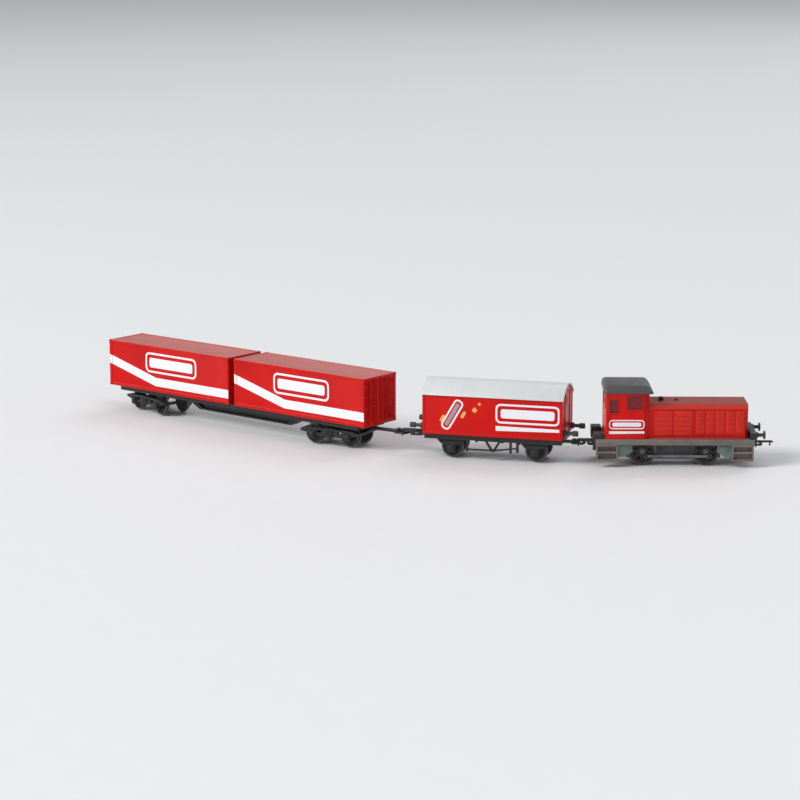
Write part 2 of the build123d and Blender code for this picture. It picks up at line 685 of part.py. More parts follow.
def locomotive():
    """Every piece of the locomotive."""
    axle = rod_y(loco_axle_radius, 0, (-wheel_face, wheel_face), loco_axle_height)
    wheels = Pos(0, 0, loco_axle_height) * loco_wheel_pair()
    coupler_hole = screw_radius + loose_gap
    toward_idler = gear_train_lean
    idler_tooth = gear_train_lean + 180 + 180 / idler_teeth
    return {
        "loco_body_shell": loco_body_shell(),
        "cab_roof": cab_roof(),
        "cab_windows": cab_windows(),
        "radiator_grille": radiator_grille(),
        "exhaust_and_filler": exhaust_and_filler(),
        "loco_footplate": footplate(),
        "loco_steps": loco_steps(),
        "loco_buffer_beams": loco_buffer_beams(),
        "loco_buffers": loco_buffers(),
        "loco_frame": loco_frame(),
        "loco_keeper_plate": keeper_plate(),
        "pickup_strips": pickup_strips(),
        "loco_weight": block((front_axle_x - 11, body_screw_x - 3.5), (-10.5, 10.5), (weight_bottom, 32)),
        "loco_screws": loco_screws(),
        "motor_can": motor_can(),
        "motor_magnets": motor_magnets(),
        "motor_armature": motor_armature(),
        "motor_pinion": gear(pinion_teeth, motor_shaft_radius, gear_train_lean + 180, motor_x, motor_z),
        "idler_pin": rod_y(0.75, idler_x, (slot_y[0] - 1.2, frame_half_width), idler_z),
        "idler_gear": gear(idler_teeth, 0.75 + running_gap, idler_tooth, idler_x, idler_z),
        "axle_gear": gear(axle_gear_teeth, loco_axle_radius, toward_idler, rear_axle_x, loco_axle_height),
        "loco_rear_axle": Pos(rear_axle_x, 0, 0) * axle,
        "loco_front_axle": Pos(front_axle_x, 0, 0) * axle,
        "loco_rear_wheels": Pos(rear_axle_x, 0, 0) * wheels,
        "loco_front_wheels": Pos(front_axle_x, 0, 0) * wheels,
        "left_coupling_rod": coupling_rod(crank_angle + 90),
        "right_coupling_rod": mirror(coupling_rod(crank_angle), about=Plane.XZ),
        "loco_front_coupler": coupler(loco_front_reach, body_screw_x, coupler_hole),
        "loco_rear_coupler": turned(coupler(loco_rear_reach, body_screw_x, coupler_hole)),
        "loco_front_hook": hook(loco_front_reach),
        "loco_rear_hook": turned(hook(loco_rear_reach)),
    }


# ---------------------------------------------------------------- box van
van_side_top = van_floor + van_side_height
van_screw_x = 37.5


def roof_arc(half, base, rise, x):
    """Solid under an arched roof line, between two limits of X."""
    curve = ThreePointArc((-half, base), (0, base + rise), (half, base))
    outline = make_face(curve + Line((half, base), (-half, base)))
    return extrude(Plane.YZ.offset(x[0]) * outline, amount=x[1] - x[0])


def van_body():
    """Four walls with arched ends, a sliding-door outline on each side and corner straps."""
    half_length = van_length / 2
    half = van_width / 2
    x = (-half_length, half_length)
    inner_x = (-half_length + shell_wall, half_length - shell_wall)
    inner = half - shell_wall
    solid = block(x, (-half, half), (van_floor, van_side_top))
    solid += roof_arc(half, van_side_top, van_roof_rise - van_roof_thickness, x)
    hollow = block(inner_x, (-inner, inner), (van_floor, van_side_top + van_roof_rise))
    sill = on_both_sides(block(x, (-half - 0.3, -half + 0.2), (van_floor, van_floor + 1.4)))
    ends = [block(sorted((side * half_length, side * (half_length + 0.5))), (y - 0.8, y + 0.8),
                  (van_floor, van_side_top + 3)) for side in (-1, 1) for y in (-7, 7)]
    return join(solid - hollow, sill, *ends)


def van_roof():
    """Thin arched roof with a plug that drops inside the walls."""
    overhang = van_roof_overhang
    x = (-van_length / 2 - overhang, van_length / 2 + overhang)
    half = van_width / 2
    outer = roof_arc(half + overhang, van_side_top, van_roof_rise, x)
    under = roof_arc(half, van_side_top, van_roof_rise - van_roof_thickness,
                     (x[0] - 1, x[1] + 1))
    roof = outer - under
    inset = shell_wall + loose_gap
    rib_x = van_length / 2 - inset
    ribs = []
    for centre in (-rib_x + 1, 0, rib_x - 1):
        rib = roof_arc(half - inset - 0.2, van_side_top, van_roof_rise - van_roof_thickness + 0.4,
                       (centre - 1, centre + 1))
        ribs.append(rib - roof_arc(half - inset - 2.2, van_side_top - 0.1, van_roof_rise - 3, (centre - 1, centre + 1)))
    return join(roof, *ribs)


def axle_guard(x, outer):
    """Guard, axle box and leaf spring of one wheel on the right-hand side."""
    inner = wheel_face + 1.0
    y = (-outer, -inner)
    top = van_floor - 3.3
    guard = side_profile([(x - 9, top), (x + 9, top), (x + 6.5, 8.4), (x + 3.4, 7.6), (x + 2.8, 3.0),
                          (x - 2.8, 3.0), (x - 3.4, 7.6), (x - 6.5, 8.4)], y)
    box_y = (-outer - 1.1, -outer)
    axle_box = block((x - 2.4, x + 2.4), box_y, (wagon_axle_height - 2.4, wagon_axle_height + 2.2))
    leaves = [block((x - length, x + length), (-outer - 0.9, -outer + 0.1), (z, z + 0.6))
              for length, z in ((3.2, 8.3), (5.2, 8.9), (7.2, 9.5))]
    return join(guard, axle_box, *leaves)


def van_underframe():
    """Floor, solebars, axle guards, brake gear and the seats of the couplings."""
    half_length = van_length / 2 - 0.6
    floor_low = van_floor - van_floor_thickness
    inner = wheel_face + 1.0
    outer = inner + 2.2
    floor = block((-half_length, half_length), (-14.5, 14.5), (floor_low, van_floor))
    inset = shell_wall + loose_gap
    rim_x = van_length / 2 - inset
    rim_y = van_width / 2 - inset
    rim = block((-rim_x, rim_x), (-rim_y, rim_y), (van_floor, van_floor + 1))
    rim -= block((-rim_x + 1.2, rim_x - 1.2), (-rim_y + 1.2, rim_y - 1.2), (van_floor, van_floor + 1))
    top = van_floor - 3.3
    solebar = block((-half_length, half_length), (-14.5, -inner), (top, van_floor))
    guards = [axle_guard(side * van_wheelbase / 2, outer) for side in (-1, 1)]
    hanger_y = (-outer, -outer + 1.0)
    hanger = side_profile([(-5, top), (5, top), (1.1, 4.6), (-1.1, 4.6)], hanger_y)
    hanger -= side_profile([(-3.6, top), (3.6, top), (0.3, 6.2), (-0.3, 6.2)], hanger_y)
    lever = side_profile([(0, 5.0), (15.5, 7.4), (15.5, 8.2), (0, 6.0)], (-outer - 0.6, -outer + 0.2))
    guide = block((14.6, 16.0), (-outer - 0.6, -outer + 1), (5.0, top))
    pull_rod = block((-16, 0), hanger_y, (5.0, 5.9))
    shoe_hangers = [block((x - 0.7, x + 0.7), hanger_y, (4.2, top)) for x in (-16, 11)]
    side = join(solebar, *guards, hanger, lever, guide, pull_rod, *shoe_hangers)
    headstocks = [block(sorted((end * (half_length - 1.4), end * half_length)), (-14.5, 14.5), (bar_top, van_floor))
                  for end in (-1, 1)]
    seats = [rod_z(3.4, end * van_screw_x, 0, (bar_top, van_floor)) for end in (-1, 1)]
    frame = join(floor, rim, on_both_sides(side), *headstocks, *seats)
    for end in (-1, 1):
        frame -= bearing_holes(end * van_wheelbase / 2)
        frame -= rod_z(screw_radius, end * van_screw_x, 0, (bar_top, van_floor - 0.4))
    return frame


def van_buffers():
    """Four round buffers plugged into the van's ends."""
    start = van_length / 2
    height = 18.5
    spacing = 11.5
    collar = rod_x(1.9, (start, start + 2.2), -spacing, height)
    shank = rod_x(1.1, (start, start + van_buffer_length - 1), -spacing, height)
    head = rod_x(1.7, (start + van_buffer_length - 3.4, start + van_buffer_length), -spacing, height)
    head = fillet(head.edges().sort_by(Axis.X)[-1:], 0.4)
    return at_both_ends(on_both_sides(join(collar, shank, head)))


def box_van(reach):
    """Every piece of the box van."""
    end_coupler = coupler(reach, van_screw_x, screw_radius + loose_gap)
    screw = screw_up(van_screw_x, bar_bottom, 3.4, screw_radius - running_gap, screw_head_radius, 0.9)
    wheelset = wagon_wheelset()
    return {
        "van_body": van_body(),
        "van_roof": van_roof(),
        "van_underframe": van_underframe(),
        "van_weight": block((-32, 32), (-11, 11), (van_floor, van_floor + 1.6)),
        "van_buffers": van_buffers(),
        "van_screws": Part() + [screw, turned(screw)],
        "van_front_wheelset": Pos(van_wheelbase / 2, 0, 0) * wheelset,
        "van_rear_wheelset": Pos(-van_wheelbase / 2, 0, 0) * wheelset,
        "van_front_coupler": end_coupler,
        "van_rear_coupler": turned(end_coupler),
        "van_front_hook": hook(reach),
        "van_rear_hook": turned(hook(reach)),
    }


# ---------------------------------------------------------------- container wagon
bolster_low = 8.0
bogie_bearing = bogie_pin_radius + running_gap
bogie_boss_radius = 2.0
bogie_top = deck_top - deck_thickness - 0.3
deck_low = deck_top - deck_thickness
peg_x = 38.0
weight_recess = 0.8


def wagon_deck():
    """Deck with edge sills, a fish-bellied spine and the seats that the bogies turn on."""
    half_length = deck_length / 2
    half = deck_width / 2
    sill_low = deck_top - deck_sill_depth
    deck = block((-half_length, half_length), (-half, half), (sill_low, deck_top))
    deck -= block((-half_length + 1.5, half_length - 1.5), (-half + 1.2, half - 1.2), (sill_low, deck_low))
    spine = side_profile([(-spine_top_length / 2, deck_low), (-spine_bottom_length / 2, spine_bottom),
                          (spine_bottom_length / 2, spine_bottom), (spine_top_length / 2, deck_low)],
                         (-spine_width / 2, spine_width / 2))
    web_y = (spine_width / 2 - 1.6, spine_width / 2)
    web_gap = side_profile([(-spine_top_length / 2 + 6, deck_low), (-spine_bottom_length / 2 + 3, spine_bottom + 1),
                            (spine_bottom_length / 2 - 3, spine_bottom + 1), (spine_top_length / 2 - 6, deck_low)],
                           web_y)
    spine = spine - web_gap - mirror(web_gap, about=Plane.XZ)
    braces = [block((x - 0.8, x + 0.8), (-half + 1, half - 1), (sill_low + 0.6, deck_low))
              for x in (-50, -30, -10, 10, 30, 50)]
    seats = [rod_z(3.2, side * bogie_spacing / 2, 0, (bogie_top, deck_low)) for side in (-1, 1)]
    frame = join(deck, spine, *braces, *seats)
    frame -= block((-half_length + 12, half_length - 12), (-6, 6), (deck_top - weight_recess, deck_top))
    for side in (-1, 1):
        frame -= rod_z(bogie_pin_radius, side * bogie_spacing / 2, 0, (bogie_top, deck_top - weight_recess))
        for x in container_pegs(side):
            for y in (-9, 9):
                frame -= rod_z(1.2 + loose_gap, x, y, (deck_low, deck_top))
    return frame


def container_middle(side):
    """Middle of a container, measured along the wagon."""
    return side * (container_gap + container_length) / 2


def container_pegs(side):
    """Places of a container's pegs along the wagon."""
    return [container_middle(side) + offset for offset in (-peg_x, peg_x)]


def container_shell(side):
    """Container without its base: posts at the corners and a rim round the top."""
    middle = container_middle(side)
    half = container_width / 2
    x = (middle - container_length / 2, middle + container_length / 2)
    z = (deck_top, deck_top + container_height)
    box = block(x, (-half, half), z)
    hollow = block((x[0] + shell_wall, x[1] - shell_wall), (-half + shell_wall, half - shell_wall),
                   (z[0], z[1] - shell_wall))
    rim = 0.3
    panel_z = (z[0] + 2.0, z[1] - 1.6)
    side_cut = block((x[0] + 2.2, x[1] - 2.2), (-half, -half + rim), panel_z)
    end_cut = block((x[0], x[0] + rim), (-half + 2.2, half - 2.2), panel_z)
    far_end_cut = Pos(container_length - rim, 0, 0) * end_cut
    top_cut = block((x[0] + 2.2, x[1] - 2.2), (-half + 2.2, half - 2.2), (z[1] - rim, z[1]))
    box = box - hollow - side_cut - mirror(side_cut, about=Plane.XZ) - end_cut - far_end_cut - top_cut
    doors = []
    for end, edge in ((-1, x[0]), (1, x[1])):
        for y in (-8.5, -2.5, 2.5, 8.5):
            reach = sorted((edge - end * rim, edge))
            doors.append(block(reach, (y - 0.35, y + 0.35), panel_z))
    return join(box, *doors)


def container_base(side):
    """Floor of a container, with the pegs that stand it on the deck."""
    middle = container_middle(side)
    inset = shell_wall + loose_gap
    half = container_width / 2 - inset
    reach = container_length / 2 - inset
    floor = block((middle - reach, middle + reach), (-half, half), (deck_top, deck_top + 1.2))
    pegs = [rod_z(1.2, x, y, (deck_low, deck_top)) for x in container_pegs(side) for y in (-9, 9)]
    return join(floor, *pegs)


def bogie(side):
    """Bogie frame: bolster, two side frames with axle boxes, and the boss that carries the deck."""
    inner = wheel_face + 1.0
    outer = inner + 2.2
    half_length = bogie_length / 2
    bolster = block((-4, 4), (-outer, outer), (bolster_low, bar_bottom))
    boss = rod_z(bogie_boss_radius, 0, 0, (bolster_low, bogie_top))
    half_base = bogie_wheelbase / 2
    outline = [(-half_length, 9.0), (-half_base - 3, 10.2), (half_base + 3, 10.2), (half_length, 9.0),
               (half_length, 7.4), (half_base + 2.6, 6.6), (half_base + 2.6, 3.2), (half_base - 2.6, 3.2),
               (half_base - 3.4, 5.2), (-half_base + 3.4, 5.2), (-half_base + 2.6, 3.2),
               (-half_base - 2.6, 3.2), (-half_base - 2.6, 6.6), (-half_length, 7.4)]
    plate = side_profile(outline, (-outer, -inner))
    windows = [block((x - 1.6, x + 1.6), (-outer, -inner), (7.2, 8.8)) for x in (-7.5, 7.5)]
    for window in windows:
        plate -= window
    boxes = [block((x - 2.0, x + 2.0), (-outer - 1.0, -outer), (wagon_axle_height - 2, wagon_axle_height + 2))
             for x in (-half_base, half_base)]
    spring = [block((-2.2, 2.2), (-outer - 0.7, -outer + 0.1), (z, z + 0.6)) for z in (5.8, 6.8, 7.8, 8.8)]
    side_frame = join(plate, *boxes, *spring)
    end_bar = block((half_length - 0.2, half_length + 1.0), (-outer, outer), (7.4, 9.0))
    frame = join(bolster, boss, on_both_sides(side_frame), at_both_ends(end_bar))
    for x in (-half_base, half_base):
        frame -= bearing_holes(x)
    frame -= rod_z(bogie_bearing, 0, 0, (bolster_low, bogie_top))
    return frame if side > 0 else turned(frame)


def bogie_pin(side):
    """Headed pin, fixed in the deck, on which a bogie turns."""
    x = side * bogie_spacing / 2
    head_low = bolster_low - 1.0
    pin = rod_z(bogie_pin_radius, x, 0, (bolster_low - 0.2, deck_top - weight_recess))
    return join(pin, rod_z(2.2, x, 0, (head_low, bolster_low - 0.2)))


def bogie_set(side, reach, name):
    """A bogie with its wheelsets, coupling and hook, about its own pivot."""
    turn = (lambda shape: shape) if side > 0 else turned
    wheelset = wagon_wheelset()
    half_base = bogie_wheelbase / 2
    return {
        f"{name}_bogie": bogie(side),
        f"{name}_bogie_front_wheelset": Pos(half_base, 0, 0) * wheelset,
        f"{name}_bogie_rear_wheelset": Pos(-half_base, 0, 0) * wheelset,
        f"{name}_bogie_coupler": turn(coupler(reach, 0, bogie_boss_radius + loose_gap)),
        f"{name}_bogie_hook": turn(hook(reach)),
    }


def container_wagon():
    """The pieces of the container wagon that don't turn with a bogie."""
    half_length = deck_length / 2
    return {
        "wagon_deck": wagon_deck(),
        "wagon_weight": block((-half_length + 12, half_length - 12), (-6, 6), (deck_top - weight_recess, deck_top)),
        "bogie_pins": Part() + [bogie_pin(-1), bogie_pin(1)],
        "front_container": container_shell(1),
        "front_container_base": container_base(1),
        "rear_container": container_shell(-1),
        "rear_container_base": container_base(-1),
    }


# ---------------------------------------------------------------- the train in its curve
def on_curve(half_base):
    """Distance from the curve's centre to the middle of a frame whose ends ride on the curve."""
    return sqrt(curve_radius**2 - half_base**2)


loco_centre = on_curve(loco_wheelbase / 2)
van_centre = on_curve(van_wheelbase / 2)
bogie_centre = on_curve(bogie_wheelbase / 2)
wagon_centre = sqrt(bogie_centre**2 - (bogie_spacing / 2) ** 2)
wagon_end = container_gap / 2 + container_length - bogie_spacing / 2
coupling_centre = max(hypot(loco_centre, loco_length / 2 + loco_rear_overhang),
                      hypot(van_centre, van_length / 2 + van_overhang),
                      hypot(bogie_centre, wagon_end + wagon_overhang))
loco_rear_reach = sqrt(coupling_centre**2 - loco_centre**2)
van_reach = sqrt(coupling_centre**2 - van_centre**2)
bogie_reach = sqrt(coupling_centre**2 - bogie_centre**2)

loco_turn = degrees(atan2(loco_rear_reach, loco_centre))
van_turn = degrees(atan2(van_reach, van_centre))
bogie_turn = degrees(atan2(bogie_reach, bogie_centre))
wagon_turn = degrees(asin(bogie_spacing / 2 / bogie_centre))
half_span = loco_turn + van_turn + bogie_turn + wagon_turn

headings = {}
headings["loco"] = half_span - loco_turn
headings["van"] = headings["loco"] - loco_turn - van_turn
headings["front_bogie"] = headings["van"] - van_turn - bogie_turn
headings["wagon"] = headings["front_bogie"] - wagon_turn
headings["rear_bogie"] = headings["wagon"] - wagon_turn

distances = {"loco": loco_centre, "van": van_centre, "front_bogie": bogie_centre, "wagon": wagon_centre,
             "rear_bogie": bogie_centre}


def curve_point(distance, heading):
    """Point at a distance from the curve's centre, where the track runs with the given heading."""
    angle = radians(heading)
    return distance * sin(angle), curve_radius - distance * cos(angle)


def station(name):
    """Where a vehicle or bogie stands before the train is moved to its origin."""
    x, y = curve_point(distances[name], headings[name])
    return Pos(x, y, flange_depth) * Rot(0, 0, headings[name])


def whole_train():
    """Every piece of the train, with the origin below the middle of it all."""
    groups = {
        "loco": locomotive(),
        "van": box_van(van_reach),
        "wagon": container_wagon(),
        "front_bogie": bogie_set(1, bogie_reach, "front"),
        "rear_bogie": bogie_set(-1, bogie_reach, "rear"),
    }
    pieces = {}
    for group, shapes in groups.items():
        for name, shape in shapes.items():
            pieces[name] = station(group) * shape
    boxes = [shape.bounding_box() for shape in pieces.values()]
    low_x, high_x = min(box.min.X for box in boxes), max(box.max.X for box in boxes)
    low_y, high_y = min(box.min.Y for box in boxes), max(box.max.Y for box in boxes)
    low_z = min(box.min.Z for box in boxes)
    shift = (-(low_x + high_x) / 2, -(low_y + high_y) / 2, -low_z)
    return {name: Pos(*shift) * shape for name, shape in pieces.items()}, shift


train, train_shift = whole_train()
os.makedirs("parts", exist_ok=True)
for node, shape in train.items():
    export_step(shape, f"parts/{node}.step")
print(len(train), "nodes; shift", [round(value, 4) for value in train_shift])
print("reaches", round(van_reach, 3), round(bogie_reach, 3),
      "headings", {name: round(value, 3) for name, value in headings.items()})
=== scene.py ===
import json
from math import atan2, cos, pi, radians, sin

import bmesh
import bpy
from mathutils import Matrix, Vector


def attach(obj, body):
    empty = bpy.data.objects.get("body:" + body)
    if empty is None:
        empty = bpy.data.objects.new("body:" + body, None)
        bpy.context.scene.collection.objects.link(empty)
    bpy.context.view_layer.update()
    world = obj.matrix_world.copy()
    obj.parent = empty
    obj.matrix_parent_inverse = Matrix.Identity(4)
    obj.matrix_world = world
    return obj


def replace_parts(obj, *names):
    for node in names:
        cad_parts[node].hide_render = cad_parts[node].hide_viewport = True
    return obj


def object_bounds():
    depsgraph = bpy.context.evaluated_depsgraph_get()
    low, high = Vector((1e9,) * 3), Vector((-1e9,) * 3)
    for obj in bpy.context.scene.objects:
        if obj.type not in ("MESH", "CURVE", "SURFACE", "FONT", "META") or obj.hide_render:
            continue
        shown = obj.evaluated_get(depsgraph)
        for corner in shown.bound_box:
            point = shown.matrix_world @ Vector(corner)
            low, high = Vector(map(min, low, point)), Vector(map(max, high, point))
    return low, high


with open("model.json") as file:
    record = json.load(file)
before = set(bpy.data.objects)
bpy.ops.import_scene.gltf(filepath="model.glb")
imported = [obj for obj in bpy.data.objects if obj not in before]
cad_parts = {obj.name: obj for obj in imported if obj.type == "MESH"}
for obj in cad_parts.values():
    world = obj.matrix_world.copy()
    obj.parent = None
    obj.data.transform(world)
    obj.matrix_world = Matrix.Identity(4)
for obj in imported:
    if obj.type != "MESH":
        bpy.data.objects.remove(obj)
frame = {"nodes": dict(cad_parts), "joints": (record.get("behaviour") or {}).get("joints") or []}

bl_info = {
    "name": "Toy train finishes",
    "version": (1, 0, 0),
    "blender": (4, 5, 0),
    "location": "3D View > Sidebar > Toy Train",
    "description": "Mouldings, prints, fittings and finishes of a toy train, and the studio it stands in",
    "category": "Object",
}

CAD_BOX = [list(corner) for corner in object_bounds()]
JOINTS = {joint["name"]: joint for joint in frame["joints"]}
MM = 0.001
RAIL_TOP = 1.0                # above the ground, in millimetres: the depth of the wheels' flanges


def station(rear_joint, front_joint):
    """Turns a vehicle's own millimetres into the frame's metres, from two joints on its centre line."""
    rear, front = (Vector(JOINTS[name]["pos_m"]) for name in (rear_joint, front_joint))
    middle = (rear + front) / 2
    heading = atan2(front.y - rear.y, front.x - rear.x)
    spot = Matrix.Translation((middle.x, middle.y, RAIL_TOP * MM))
    return spot @ Matrix.Rotation(heading, 4, "Z") @ Matrix.Scale(MM, 4)


LOCO = station("rear_axle_spin", "front_axle_spin")
VAN = station("van_rear_axle_spin", "van_front_axle_spin")
WAGON = station("rear_bogie_swivel", "front_bogie_swivel")
BOGIES = {
    "front_bogie": station("front_bogie_rear_axle_spin", "front_bogie_front_axle_spin"),
    "rear_bogie": station("rear_bogie_rear_axle_spin", "rear_bogie_front_axle_spin"),
}


# ---------------------------------------------------------------- what a user may change
def tint(name, description, value):
    """A colour property."""
    return bpy.props.FloatVectorProperty(name=name, description=description, subtype="COLOR", size=3,
                                         min=0, max=1, default=value)


def amount(name, description, value, unit="NONE"):
    """A property for a number that is never below 0."""
    return bpy.props.FloatProperty(name=name, description=description, default=value, min=0, unit=unit)


class TrainColours(bpy.types.PropertyGroup):
    red: tint("Shell red", "Moulded red of the containers, the van and the locomotive", (0.60, 0.0045, 0.003))
    deep_red: tint("Deep red", "Darker streaks in the red mouldings", (0.34, 0.003, 0.003))
    # dust colour, also painted as a sheen: paler colour on what faces up on the red shells
    dust_and_sheen: tint("Top dust", "Faded bloom on the container tops", (0.50, 0.195, 0.175))
    white: tint("Print white", "White of every printed band and label", (0.84, 0.84, 0.88))
    amber: tint("Print amber", "Small printed accents on the van", (0.80, 0.42, 0.10))
    print_grey: tint("Print grey", "Middle of the van's slanted label", (0.34, 0.32, 0.36))
    van_roof: tint("Van roof", "Light grey roof of the van", (0.64, 0.66, 0.65))
    cab_roof: tint("Cab roof", "Dark grey roof of the cab", (0.072, 0.070, 0.070))
    footplate: tint("Footplate", "Brownish grey of the footplate and the steps", (0.182, 0.149, 0.132))
    sandbox: tint("Sand boxes", "Greenish grey of the sand boxes", (0.14, 0.18, 0.155))
    # painted highlight: paler red on the hood's raised panels and rounded shoulders
    painted_highlight_red: tint("Raised red", "Paler red where the hood's raised panels are rubbed", (0.70, 0.035, 0.02))
    # painted sheen with dust on the locomotive shell's upward faces
    hood_top_sheen_and_dirt: tint("Hood top", "Brown-grey bloom on top of the hood", (0.20, 0.075, 0.06))
    black: tint("Black", "Black mouldings under the vehicles", (0.011, 0.011, 0.012))
    grime: tint("Grime", "Grey-brown dirt in the black mouldings", (0.055, 0.050, 0.045))
    steel: tint("Steel", "Bare steel of treads, rods and screws", (0.56, 0.56, 0.57))


class TrainSizes(bpy.types.PropertyGroup):
    print_rise: amount("Print rise", "How far a print stands above its panel, in mm", 0.05)
    edge_softening: amount("Edge softening", "Radius along the moulded edges, in mm", 0.3)
    rail_radius: amount("Handrail radius", "Half the thickness of a handrail, in mm", 0.28)
    rivet_radius: amount("Rivet radius", "Radius of a rivet's head, in mm", 0.38)


class TrainStudio(bpy.types.PropertyGroup):
    floor: tint("Floor", "Pale floor", (0.80, 0.80, 0.80))
    sky: amount("Sky", "Strength of the pale light all round", 0.46)
    key: amount("Key light", "Power of the main soft light, in watts", 235, "POWER")
    fill: amount("Fill light", "Power of the soft light from the front, in watts", 9, "POWER")
    back: amount("Back light", "Power of the light from behind, in watts", 90, "POWER")
    lens: amount("Lens", "Focal length of the camera, in mm", 106, "CAMERA")


def colours():
    return bpy.context.scene.train_colours


def sizes():
    return bpy.context.scene.train_sizes


# ---------------------------------------------------------------- shader maths
class Value:
    """A number, colour or vector that varies over a surface; arithmetic on numbers adds Math nodes."""

    def __init__(self, finish, socket):
        self.finish = finish
        self.socket = socket

    def maths(self, operation, first, second=0.0):
        return self.finish.node("ShaderNodeMath", {"operation": operation}, {0: first, 1: second})

    def __add__(self, other):
        return self.maths("ADD", self, other)

    __radd__ = __add__

    def __sub__(self, other):
        return self.maths("SUBTRACT", self, other)

    def __rsub__(self, other):
        return self.maths("SUBTRACT", other, self)

    def __mul__(self, other):
        return self.maths("MULTIPLY", self, other)

    __rmul__ = __mul__

    def absolute(self):
        return self.maths("ABSOLUTE", self)

    def root(self):
        return self.maths("SQRT", self)

    def step(self, low, high):
        """0 below low, 1 above high and a smooth rise between them."""
        settings = {"interpolation_type": "SMOOTHSTEP"}
        inputs = {"Value": self, "From Min": low, "From Max": high, "To Min": 0.0, "To Max": 1.0}
        return self.finish.node("ShaderNodeMapRange", settings, inputs)


class Finish:
    """A material, and short names for the nodes that make it."""

    def __init__(self, name, **constants):
        self.material = bpy.data.materials.new(name)
        self.material.use_nodes = True
        self.tree = self.material.node_tree
        self.surface = next(node for node in self.tree.nodes if node.type == "BSDF_PRINCIPLED")
        for socket, value in constants.items():
            self.surface.inputs[socket.replace("_", " ")].default_value = value

    def feed(self, socket, value):
        if isinstance(value, Value):
            self.tree.links.new(value.socket, socket)
        else:
            socket.default_value = value

    def node(self, kind, settings=None, inputs=None, output=0):
        """A node of any kind: first its settings, then what its sockets hold or are linked to."""
        made = self.tree.nodes.new(kind)
        for name, value in (settings or {}).items():
            setattr(made, name, value)
        for key, value in (inputs or {}).items():
            self.feed(made.inputs[key], value)
        return Value(self, made.outputs[output])

    def set(self, socket, value):
        self.feed(self.surface.inputs[socket], value)

    def place(self):
        """The point on the surface, in metres, at rest."""
        return self.node("ShaderNodeTexCoord", output=3)

    def from_point(self, point):
        return self.node("ShaderNodeVectorMath", {"operation": "SUBTRACT"}, {0: self.place(), 1: point})

    def along(self, direction, point):
        """Distance of the surface from a point, measured along a direction."""
        settings = {"operation": "DOT_PRODUCT"}
        inputs = {0: self.from_point(point), 1: direction}
        return self.node("ShaderNodeVectorMath", settings, inputs, output=1)

    def distance(self, point):
        settings = {"operation": "LENGTH"}
        return self.node("ShaderNodeVectorMath", settings, {0: self.from_point(point)}, output=1)

    def facing(self, direction):
        """1 where the surface faces a direction, -1 where it faces away."""
        normal = self.node("ShaderNodeNewGeometry", output=1)
        settings = {"operation": "DOT_PRODUCT"}
        return self.node("ShaderNodeVectorMath", settings, {0: normal, 1: direction}, output=1)

    def noise(self, grain, detail=3.0, stretch=(1, 1, 1)):
        """Cloudy noise from 0 to 1, whose clouds are about as wide as grain, in millimetres."""
        settings = {"operation": "MULTIPLY"}
        where = self.node("ShaderNodeVectorMath", settings, {0: self.place(), 1: stretch})
        inputs = {"Vector": where, "Scale": 1 / (grain * MM), "Detail": detail}
        return self.node("ShaderNodeTexNoise", {}, inputs)

    def mix(self, share, first, second):
        """Colour between two colours."""
        ends = {6: opaque(first), 7: opaque(second)}
        return self.node("ShaderNodeMix", {"data_type": "RGBA"}, {0: share, **ends}, output=2)

    def bump(self, height, depth):
        """Relief whose full height is depth millimetres."""
        inputs = {"Height": height, "Distance": depth * MM, "Strength": 1.0}
        self.set("Normal", self.node("ShaderNodeBump", {}, inputs))


def opaque(colour):
    return colour if isinstance(colour, Value) else (*colour, 1.0)


def scaled(colour, share):
    return tuple(channel * share for channel in colour)


# ---------------------------------------------------------------- finishes
def shell_red(name, dust_and_sheen=0.0, gloss=0.3, sheen_and_dirt_colour=None, highlighted=False):
    """Glossy self-coloured red moulding, with faint flow marks and dust with a painted sheen on what faces
    up.
    """
    paint = colours()
    finish = Finish(name, Specular_IOR_Level=0.2)
    flow = finish.noise(22, 4).step(0.35, 0.75)
    body = finish.mix(flow * 0.35, paint.red, paint.deep_red)
    speck = finish.noise(0.9, 2).step(0.62, 0.8)
    body = finish.mix(speck * 0.12, body, scaled(paint.dust_and_sheen, 1.1))
    top = finish.facing((0, 0, 1)).step(0.5, 0.98)
    cloud = finish.noise(9, 5).step(0.15, 0.85)
    # dust and a painted sheen: paler colour on what faces up
    sheen_and_dirt = top * (cloud * 0.25 + 0.75) * dust_and_sheen
    # painted highlight on the hood's raised panels and rounded shoulders
    if highlighted:
        body = finish.mix(hood_highlight_mask(finish), body, paint.painted_highlight_red)
    finish.set("Base Color", finish.mix(sheen_and_dirt, body, sheen_and_dirt_colour or paint.dust_and_sheen))
    scratch = finish.noise(0.7, 3, (1, 1, 0.12)).step(0.55, 0.75)
    finish.set("Roughness", gloss + scratch * 0.12 + sheen_and_dirt * 0.35)
    finish.bump(finish.noise(0.8, 2) + finish.noise(5, 2) * 0.8, 0.012)
    return finish.material


def hood_highlight_mask(finish):
    """Where the painted highlight goes: 1 on the hood's raised doors and louvres and on its rounded
    shoulders, uneven in places.
    """
    across = LOCO.to_3x3().col[1].normalized()
    out = finish.along(across, LOCO.translation).absolute()
    height = finish.along((0, 0, 1), LOCO.translation)
    inside = out.step((CAB_HALF - 0.5) * MM, (CAB_HALF - 1.0) * MM)
    sides = height.step((HOOD_SHOULDER + 1) * MM, HOOD_SHOULDER * MM)
    panels = out.step((HOOD_HALF + 0.05) * MM, (HOOD_HALF + 0.15) * MM) * inside * sides
    up = finish.facing((0, 0, 1))
    rounded = height.step((HOOD_SHOULDER - 1) * MM, HOOD_SHOULDER * MM)
    shoulders = up.step(0.2, 0.5) * up.step(0.98, 0.85) * inside * rounded
    return (panels * 0.75 + shoulders) * (finish.noise(4, 4).step(0.1, 0.9) * 0.4 + 0.6)


